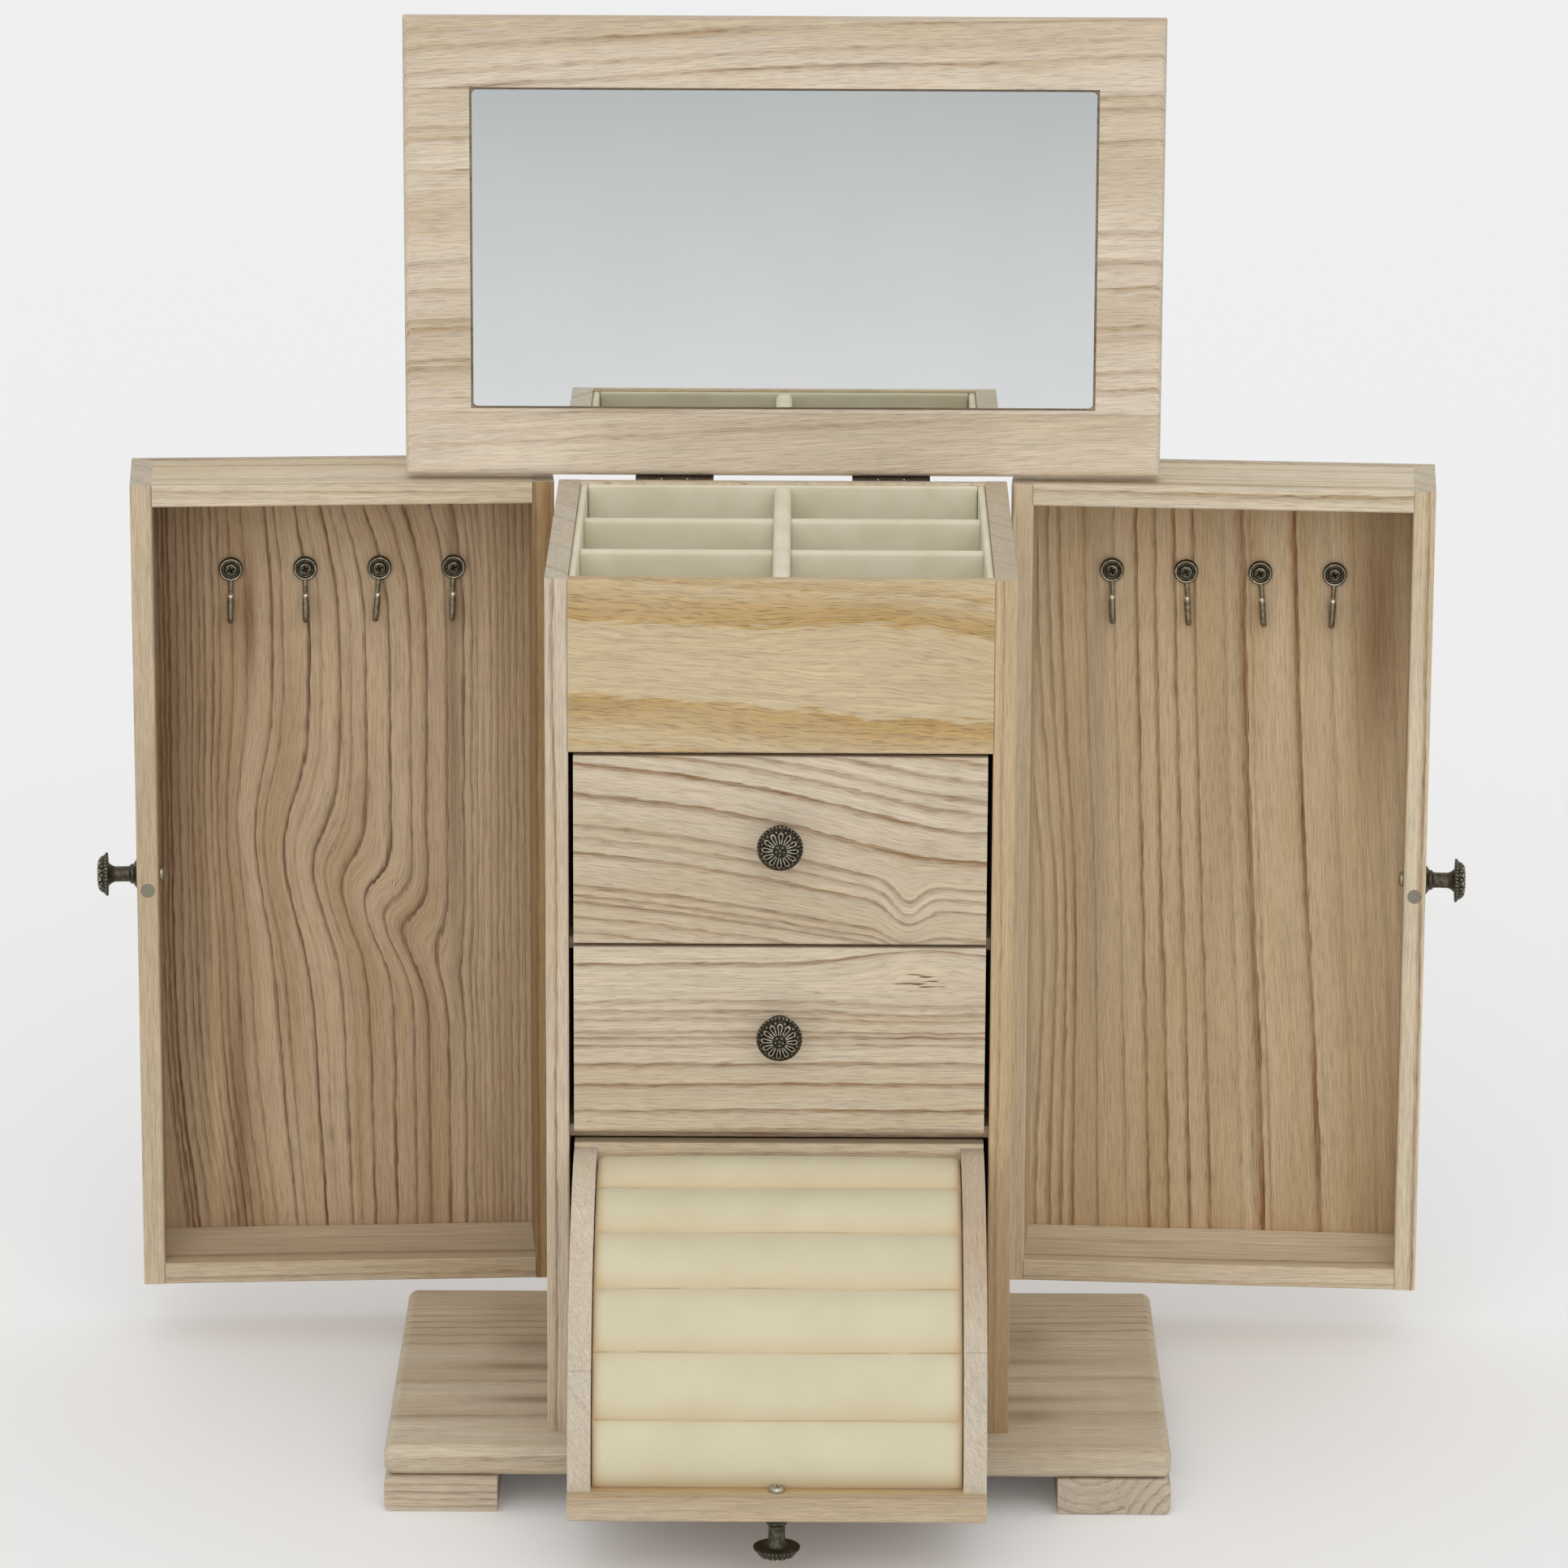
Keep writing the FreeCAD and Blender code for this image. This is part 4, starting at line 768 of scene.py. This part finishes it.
def knob_screw_grid(around=72):
    """Pan head on Z that starts from the board at height 0, with its shank below."""
    corners = [(0, -4.0), (1.6, -4.0), (1.6, 0), (3.2, 0), (3.2, 1.1), (2.6, 1.9), (0, HEAD_HEIGHT)]
    path = rounded_path(corners, 0.16, 0.2)
    lift = np.where(path[:, 1:] > 1.2, cross_recess(path, around, 0.9, 1.7, 0.35), 0)
    # the cross is painted darker as the shade in its recess
    return turned(path, around, lift), True, 0.75 + 0.8 * lift


for part, (axis, up, turn) in KNOBS.items():
    inward = tuple(-a for a in axis)
    tip = box_face(part + "_knob_screw", axis, turn) + HEAD_HEIGHT * np.array(axis)
    grids = stand([knob_screw_grid()], inward, up, tip, turn)
    body = "ring_tray" if part == "tray" else part
    new_piece(part + "_pan_screw", grids, STEEL, body, [part + "_knob_screw"], sharp=50)
print("screw head", turned_box("tray_knob_screw")[1].round(1))

# %% [markdown]
# ## Hinge screws
# Two countersunk screws hold each leaf of the six hinges. Their heads fill the countersinks and stand only a little
# proud, so each is a low turned lens with a cross in it. They could be placed one by one, but every leaf has the same
# plan: from the hinge pin it runs off to one side, so two directions and the pin's line place all of them.

# %% Heads on the hinge leaves
LEAF_LENGTH, LEAF_MIDDLE, LEAF_FACE = 32.0, 6.1, -0.9
SWING = math.radians(86)
C, S = math.cos(SWING), math.sin(SWING)
HINGES = {"lid": ((1, 0, 0), ((0, 1, 0), (0, 0, -1)), ((0, 0, -1), (0, 1, 0))),
          "left_door": ((0, 0, 1), ((-C, S, 0), (S, C, 0)), ((1, 0, 0), (0, 1, 0))),
          "right_door": ((0, 0, 1), ((C, S, 0), (-S, C, 0)), ((-1, 0, 0), (0, 1, 0)))}


def hinge_head_grid(around=40):
    """Low lens on Z that starts inside the leaf, below its face at height 0, with a cross sunk into it."""
    path = rounded_path([(0, -0.3), (1.9, -0.3), (1.9, 0.1), (1.3, 0.35), (0, 0.4)], 0.15, 0.12)
    lift = np.where(path[:, 1:] > 0.15, cross_recess(path, around, 0.4, 1.2, 0.25), 0)
    # the cross is painted darker as the shade in its recess
    return turned(path, around, lift), True, 0.5 + lift


def joint_place(name):
    """A joint's place in mm."""
    return np.array(next(j["pos_m"] for j in frame["joints"] if j["name"] == name)) / MM


def hinge_heads(part, along, across, out):
    """Two heads on each of a part's two leaves: on the pin's line, a quarter of a leaf either way from its middle,
    then half a leaf's width across and up to its outer face."""
    low, high = turned_box(part + "_hinge_leaves")
    off_pin = LEAF_MIDDLE * np.array(across) + LEAF_FACE * np.array(out)
    grids = []
    for place in (low + LEAF_LENGTH / 4, low + LEAF_LENGTH * 3 / 4, high - LEAF_LENGTH / 4, high - LEAF_LENGTH * 3 / 4):
        spot = np.where(along, place, joint_place(part + "_hinge")) + off_pin
        grids += stand([hinge_head_grid()], out, along, spot)
    return grids


on_case = []
for part, (along, moving, fixed) in HINGES.items():
    new_piece(part + "_hinge_screws", hinge_heads(part, along, *moving), STEEL, part, sharp=50)
    on_case += hinge_heads(part, along, *fixed)
new_piece("case_hinge_screws", on_case, STEEL, "case", sharp=50)
print(len(on_case), "heads on the case's leaves")

# %% [markdown]
# ## Hooks
# Four hooks for necklaces hang on each door. Each has a dished ring with a screw in it, a thin stem, and a thicker
# prong that turns up towards the front. The ring and screw are one turned profile, and the wire is a circle carried
# along a J. The hooks were screwed on by hand, so each leans a degree or two its own way.

# %% Hook shapes
HOOK_RING = [(0, -0.5), (5.0, -0.5), (5.0, 2.1), (4.6, 2.75), (4.1, 2.75), (3.5, 1.9), (3.1, 1.8), (2.9, 2.4),
             (2.5, 2.9), (1.6, 3.15), (0, 3.2)]
# wear over the ring's radius: dark in the hollows, with a painted highlight along the rim at 4.2 mm
RING_WEAR_AND_HIGHLIGHT = [(1.6, 0.34), (2.3, 0.50), (2.7, 0.10), (3.1, 0.44), (3.7, 0.40), (4.2, 0.80), (4.5, 0.48), (5.0, 0.24)]


def hook_ring_grid(around=96):
    """Dished ring and screw head on Z, from the wall at height 0."""
    path = rounded_path(HOOK_RING, 0.14, 0.18)
    lift = np.where(path[:, 1:] > 2.3, cross_recess(path, around, 0.8, 1.5, 0.32), 0) * (path[:, :1] < 2.4)
    wear_and_light = np.interp(path[:, :1], *zip(*RING_WEAR_AND_HIGHLIGHT))
    return turned(path, around, lift), True, wear_and_light + 0.4 * lift


def hook_wire_grid(around=24):
    """A circle carried down a stem, round a half turn of radius 4 mm and up a prong. Its radius grows from 1.0 to
    1.35 mm and closes as a hemisphere at the tip."""
    bend, stem, prong, level, tip = 4.0, 12.5, 8.5, 1.4, 1.35
    total = stem + math.pi * bend + prong
    t = np.r_[np.linspace(0, total - tip, 60), total - tip + tip * np.sin(np.linspace(0.1, math.pi / 2, 10))]
    a = np.clip((t - stem) / bend, 0, math.pi)
    down = 4.5 + np.minimum(t, stem) + bend * np.sin(a) - np.clip(t - stem - math.pi * bend, 0, None)
    out = level + bend * (1 - np.cos(a))
    radius = np.interp(t, (0, stem, stem + 6, total), (1.1, 1.0, tip, tip))
    radius = np.where(t > total - tip, tip * np.sqrt(np.clip(1 - ((t - total + tip) / tip) ** 2, 0, 1)), radius)
    middle = np.stack([0 * t, -down, out], -1)
    inward = np.stack([0 * t, np.sin(a), np.cos(a)], -1)
    turn = angles(around)
    ring = np.cos(turn)[None, :, None] * np.array([1.0, 0, 0]) + np.sin(turn)[None, :, None] * inward[:, None]
    # the prong's tip is paler as a painted highlight
    wear_and_light = np.interp(t, (0, stem - 2, stem + 5, total - 2.2, total - 0.8, total), (0.60, 0.62, 0.55, 0.58, 0.95, 1.0))
    start = np.repeat(middle[:1, None], around, 1)
    grid = np.concatenate([start, middle[:, None] + radius[:, None, None] * ring])
    return grid, True, np.r_[0.6, wear_and_light][:, None]


print("ring and wire have", len(hook_ring_grid()[0]), "and", len(hook_wire_grid()[0]), "rows")

# %% Hooks on the doors
RING_RADIUS, IN_WALL = 5.0, 3.5
LEANS = {"left_door": (1.0, 0.0, 5.4, 2.6), "right_door": (-2.0, -4.0, -5.0, 2.7)}
for part, turn in (("left_door", LEFT_TURN), ("right_door", RIGHT_TURN)):
    low, high = turned_box(part + "_hooks", turn)
    grids = []
    for x, lean in zip(np.linspace(low[0] + RING_RADIUS, high[0] - RING_RADIUS, 4), LEANS[part]):
        up = (math.sin(math.radians(lean)), 0, math.cos(math.radians(lean)))
        place = np.array([x, high[1] - IN_WALL, high[2] - RING_RADIUS])
        grids += stand([hook_ring_grid(), hook_wire_grid()], FRONT, up, place, turn)
    hooks = new_piece(part + "_necklace_hooks", grids, BRONZE, part, [part + "_hooks"], sharp=50)
print("hooks:", len(hooks.data.polygons), "faces a door")

# %% [markdown]
# ## Velvet
# The compartment, the drawers and the ring tray are lined with cream velvet. Its pile stands up a few tenths of a
# millimetre, so it has no shine of its own but glows where it turns away from the eye, and it shows paler and
# darker clouds where it was stroked. Sheen gives the glow, one noise the clouds and a fine one the pile.

# %% Velvet material
# the seam colour is painted shade in the rolls' seams and at their tucked ends
SEAM_SHADE, BLOOM = "#D2B083", "#F4EEDC"


def velvet(name, pale, deep):
    """Short-pile cotton velvet: matt and soft, with a pale bloom at glancing angles and a peach tint painted into
    the seams as their shade.
    """
    material, tree = new_material(name)
    # the pile is drawn at 0.6 mm, coarser than the real 0.2 mm, so that it shows
    cloud, pile = speckle(tree, 22), speckle(tree, 0.6)
    mixed = add(tree, "Math.MULTIPLY_ADD", (pile, 0.35, cloud))
    colour = add(tree, "ValToRGB", (mixed,), [(0.50, deep), (0.85, pale)])
    seam_shade = add(tree, "Attribute", attribute_name="wear_and_painted_light").outputs["Fac"]
    bloom = {"Specular IOR Level": 0.1, "Sheen Weight": 0.35, "Sheen Roughness": 0.4, "Sheen Tint": linear(BLOOM)}
    surface(tree, tinted(tree, seam_shade, colour, SEAM_SHADE), (pile, 0, 1, 0.85, 1.0), (pile, 0.3, 0.2), bloom)
    return material


LINING_VELVET = velvet("cream_velvet", "#DFD9C3", "#D5CDB4")
ROLL_VELVET = velvet("cream_velvet_rolls", "#D2CAAE", "#CDC4A7")
print("two velvets")

# %% [markdown]
# ## Covered walls and pads
# The compartment's walls and dividers are thin boards wrapped in velvet, so every edge is round. A box with round
# edges could come from a bevel, but a formula leaves the grid even: each point of a box's face is pulled to an
# inner box and pushed out again by the edge's radius. The floor is a thin pad that swells a little in each cell.

# %% Boxes with round edges
def soft_box(low, high, radius, step=2.5):
    """Six grids of a box with round edges: nearest point of the inner box + radius x direction to the face's point."""
    low, high = np.array(low, float), np.array(high, float)
    radius = min(radius, (high - low).min() / 2 - 0.01)
    lines = []
    for a, b in zip(low, high):
        edge = radius * (1 - np.cos(np.linspace(0, math.pi / 2, 5)))
        middle = np.linspace(a + radius, b - radius, max(int((b - a) / step), 2))
        lines.append(np.r_[a + edge[:-1], middle, b - edge[:-1][::-1]])
    grids = []
    for axis in range(3):
        u, v = [i for i in range(3) if i != axis]
        grid_u, grid_v = np.meshgrid(lines[u], lines[v], indexing="ij")
        for side in (low[axis], high[axis]):
            face = np.empty(grid_u.shape + (3,))
            face[..., u], face[..., v], face[..., axis] = grid_u, grid_v, side
            inner = np.clip(face, low + radius, high - radius)
            away = face - inner
            away /= np.linalg.norm(away, axis=-1, keepdims=True)
            grids.append((inner + radius * away, False, 0.0))
    return grids


print("a soft box has", len(soft_box((0, 0, 0), (9, 9, 9), 1)), "faces")

# %% Walls of the compartment
WALL, WALL_EDGE, POST, CROSS = 3.0, 1.3, 7.0, 6.0
low, high = turned_box("compartment_liner")
inner_low, inner_high = low + (WALL, WALL, 0), high - (WALL, WALL, 0)
sides = [(low[0], low[1], inner_low[0], high[1]), (inner_high[0], low[1], high[0], high[1]),
         (inner_low[0], low[1], inner_high[0], inner_low[1]), (inner_low[0], inner_high[1], inner_high[0], high[1])]
walls = []
for x0, y0, x1, y1 in sides:
    walls += soft_box((x0, y0, low[2]), (x1, y1, high[2]), WALL_EDGE)
rows = np.linspace(inner_low[1], inner_high[1] + CROSS, 4)[1:-1] - CROSS
cells_x = [(inner_low[0], -POST / 2), (POST / 2, inner_high[0])]
cells_y = list(zip(np.r_[inner_low[1], rows + CROSS], np.r_[rows, inner_high[1]]))
print(len(cells_x) * len(cells_y), "cells, divider rows at", rows.round(1))

# %% Floor pads
PAD, PAD_START, PAD_EDGE, PAD_RISE, EASE = 2.0, 0.4, 0.7, 0.8, 0.2
BASE_SUNK, BASE_EDGE, BASE_STEP = 0.6, 0.6, 8.0


def crowned(grids, x, y, rise):
    """Lifts the upper points of a pad by rise x (1 - u^4) x (1 - v^4), u and v running from -1 to 1 over it."""
    for points, _, _ in grids:
        u = (points[..., 0] - sum(x) / 2) / ((x[1] - x[0]) / 2)
        v = (points[..., 1] - sum(y) / 2) / ((y[1] - y[0]) / 2)
        top = points[..., 2] > points[..., 2].mean()
        points[..., 2] += np.where(top, rise * np.clip(1 - u ** 4, 0, 1) * np.clip(1 - v ** 4, 0, 1), 0)
    return grids


walls += soft_box(inner_low, (inner_high[0], inner_high[1], low[2] + PAD - BASE_SUNK), BASE_EDGE, BASE_STEP)
for x in cells_x:
    for y in cells_y:
        start, end = (x[0] + EASE, y[0] + EASE, low[2] + PAD_START), (x[1] - EASE, y[1] - EASE, low[2] + PAD)
        walls += crowned(soft_box(start, end, PAD_EDGE), x, y, PAD_RISE)
liner = new_piece("compartment_velvet", walls, LINING_VELVET, "case", ["compartment_liner"])
print("walls and pads:", len(liner.data.polygons), "faces")

# %% Dividers
POST_EDGE, CROSS_EDGE, FOOT, LAP, LOWER = 2.4, 1.6, 1.0, 0.5, 2.0
posts = soft_box((-POST / 2, inner_low[1], low[2] + FOOT), (POST / 2, inner_high[1], high[2]), POST_EDGE)
for x in cells_x:
    for y in rows:
        posts += soft_box((x[0] - LAP, y, low[2] + FOOT), (x[1] + LAP, y + CROSS, high[2] - LOWER), CROSS_EDGE)
dividers = new_piece("divider_velvet", posts, LINING_VELVET, "case", ["compartment_dividers"])
print("dividers:", len(dividers.data.polygons), "faces")

# %% Drawer linings
LINING_EDGE, LINING_RISE = 0.9, 0.7
for part in ("upper_drawer", "lower_drawer"):
    low, high = turned_box(part + "_lining")
    pad = soft_box(low + (EASE, EASE, 0), high - (EASE, EASE, 0), LINING_EDGE)
    pad = crowned(pad, (low[0], high[0]), (low[1], high[1]), LINING_RISE)
    new_piece(part + "_velvet", pad, LINING_VELVET, part, [part + "_lining"])
print("two drawer linings")

# %% [markdown]
# ## Ring rolls
# Rings are pushed into the grooves between six soft rolls, which are one pad sewn down in rows over a quarter
# round. Separate cylinders would show gaps, so the pad is one surface over angle and width: between two seams the
# radius swells like the side of a full cushion, and near the ends it draws in where the cover is tucked. The wear
# value here holds painted shade: a tan tint in each seam, on the lower edge of each roll and at the tucked ends,
# where shade falls between the rolls and against the walls.

# %% The rolls
PIVOT = joint_place("ring_tray_pivot")
ROLLS, SEAM_R, INNER_R = 6, 104.3, 81.3
SWELL = np.array([3.9, 3.7, 3.6, 3.6, 3.6, 3.7])
CROWN = np.array([1.1, 0.5, 0.2, 0.2, 0.2, 0.3])
BOARD_FACE, PANEL_FACE, TUCK = 2.0, 4.0, 4.0


def arc_ends(radius):
    """Angles at which a circle about the pivot meets the faces of the tray's bottom board and front panel."""
    return np.arcsin(BOARD_FACE / radius), np.arccos(PANEL_FACE / radius)


def roll_surface(half, rows=22, columns=96):
    """Radius = seam + (swell + crown (1 - (x / half)^2)) (1 - |2w - 1|^2.4)^0.72, w running from 0 to 1 over each
    roll, less a quarter circle at the ends. A point lies at that radius from the pivot, at the roll's angle."""
    x = half * np.sin(np.linspace(-math.pi / 2, math.pi / 2, columns))[:, None]
    w = (1 - np.cos(np.linspace(0, math.pi, rows)))[:-1] / 2
    roll = np.r_[np.repeat(np.arange(ROLLS), len(w)), ROLLS - 1]
    w = np.r_[np.tile(w, ROLLS), 1.0]
    tuck = 1 - np.sqrt(1 - np.clip((np.abs(x) - half + TUCK) / TUCK, 0, 1) ** 2)
    swell = SWELL[roll] + CROWN[roll] * (1 - (x / half) ** 2) - 2.2 * tuck
    radius = SEAM_R - 0.8 * tuck + swell * (1 - np.abs(2 * w - 1) ** 2.4) ** 0.72
    first, last = arc_ends(SEAM_R)
    share = (roll + w) / ROLLS
    waver = 0.0022 * np.sin(x / 17 + roll * 1.9) * np.sin(math.pi * share)
    outer = radius, first + (last - first) * share + waver
    first, last = arc_ends(INNER_R)
    inner = np.full_like(radius, INNER_R), first + (last - first) * share + 0 * x
    curves = [np.stack([x + 0 * r, PIVOT[1] - r * np.sin(a), PIVOT[2] + r * np.cos(a)], -1) for r, a in (outer, inner)]
    length = (last - first) / ROLLS * SEAM_R
    # painted shade: a thin tan line in each seam, a wider tan band on the lower edge of each roll and darker tucked
    # ends
    painted_shade = 0.1 * hump(np.minimum(w, 1 - w) * length, 0.9) + 0.28 * hump((1 - w) * length, 5.0)
    painted_shade = np.clip(painted_shade + 0.35 * hump(half - np.abs(x), 3.0), 0, 1)
    return curves + [painted_shade]


outer, inner, painted_shade = roll_surface(turned_box("tray_ring_rolls")[1][0])
grids = [(np.concatenate([outer, inner[:, ::-1]], 1), True, np.concatenate([painted_shade, 0 * painted_shade], 1))]
grids += [(np.stack([outer[end], inner[end]]), False, 0.0) for end in (0, -1)]
rolls = new_piece("velvet_ring_rolls", grids, ROLL_VELVET, "ring_tray", ["tray_ring_rolls"], sharp=75)
print("rolls", len(rolls.data.polygons), "faces")

# %% The filling under the cover
def filled(piece, sewn, pressure=20.0, frames=14, cap=1.0):
    """Lets a cover swell over its filling: cloth with air pressure inside and no gravity, held where it is sewn. Each
    point keeps its way from start to end, cut to cap mm."""
    mesh = piece.data
    start = np.empty(len(mesh.vertices) * 3)
    mesh.vertices.foreach_get("co", start)
    piece.vertex_groups.new(name="sewn").add(np.flatnonzero(sewn(start.reshape(-1, 3) / MM)).tolist(), 1.0, "REPLACE")
    cover = piece.modifiers.new("cover", "CLOTH")
    cover.settings.vertex_group_mass = "sewn"
    cover.settings.use_pressure = True
    cover.settings.uniform_pressure_force = pressure
    cover.settings.effector_weights.gravity = 0.0
    cover.point_cache.frame_end = frames
    for number in range(1, frames + 1):
        bpy.context.scene.frame_set(number)
    swollen = piece.evaluated_get(bpy.context.evaluated_depsgraph_get()).data
    end = np.empty_like(start)
    swollen.vertices.foreach_get("co", end)
    piece.modifiers.remove(cover)
    bpy.context.scene.frame_set(1)
    way = (end - start).reshape(-1, 3)
    far = np.linalg.norm(way, axis=1, keepdims=True)
    mesh.vertices.foreach_set("co", start + (way * np.minimum(1, cap * MM / np.maximum(far, 1e-9))).reshape(-1))
    mesh.update()
    return far.max() / MM, np.median(far) / MM


def sewn_down(points):
    """Seams, ends and the side on the board: within 0.4 mm of the seams' radius or 1 mm of either end."""
    radius = np.hypot(points[:, 1] - PIVOT[1], points[:, 2] - PIVOT[2])
    return (radius < SEAM_R + 0.4) | (np.abs(points[:, 0]) > points[:, 0].max() - 1.0)


print("cover moved at most and in the middle, mm:", filled(rolls, sewn_down))
print("a pad of", ROLLS, "rolls")

# %% [markdown]
# ## Mirror, hinges and magnets
# The remaining nodes have the right shape already and get their finish in place. The mirror is silvered glass: a
# clean, slightly cool reflection with a breath of haze. Hinges and their pins are browned steel, and the magnets and
# the tray's pins are bare nickel.

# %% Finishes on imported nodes
def silvered_glass():
    """Mirror glass: almost perfectly smooth, with a breath of haze a few centimetres wide."""
    material, tree = new_material("silvered_glass")
    haze = speckle(tree, 40)
    colour = add(tree, "ValToRGB", (haze,), [(0.3, "#F0F3F2"), (0.7, "#F4F6F5")])
    surface(tree, colour, (haze, 0, 1, 0.008, 0.02), (), {"Metallic": 1.0})
    return material


def plain_metal(name, pale, dark, size, low, high):
    """Bare or browned metal, mottled in spots of one size in mm: dull, with a soft highlight."""
    material, tree = new_material(name)
    spots = speckle(tree, size, 3.0)
    colour = add(tree, "ValToRGB", (spots,), [(0.3, dark), (0.7, pale)])
    surface(tree, colour, (spots, 0, 1, low, high), (spots, 0.15, 0.05), {"Metallic": 0.8})
    return material


finish_node("lid_mirror", silvered_glass())
BROWNED = plain_metal("browned_hinge_steel", "#5A4A3C", "#33291F", 1.2, 0.35, 0.55)
DISC = plain_metal("nickel_magnet", "#99937F", "#7E786B", 0.5, 0.35, 0.5)
for name in ("case_hinge_leaves", "hinge_pins", *(part + "_hinge_leaves" for part in HINGES)):
    finish_node(name, BROWNED)
for name in ("case_magnets", "left_door_magnet", "right_door_magnet", "tray_pivot_pins"):
    finish_node(name, DISC)
print("mirror, hinges, pins and magnets finished")
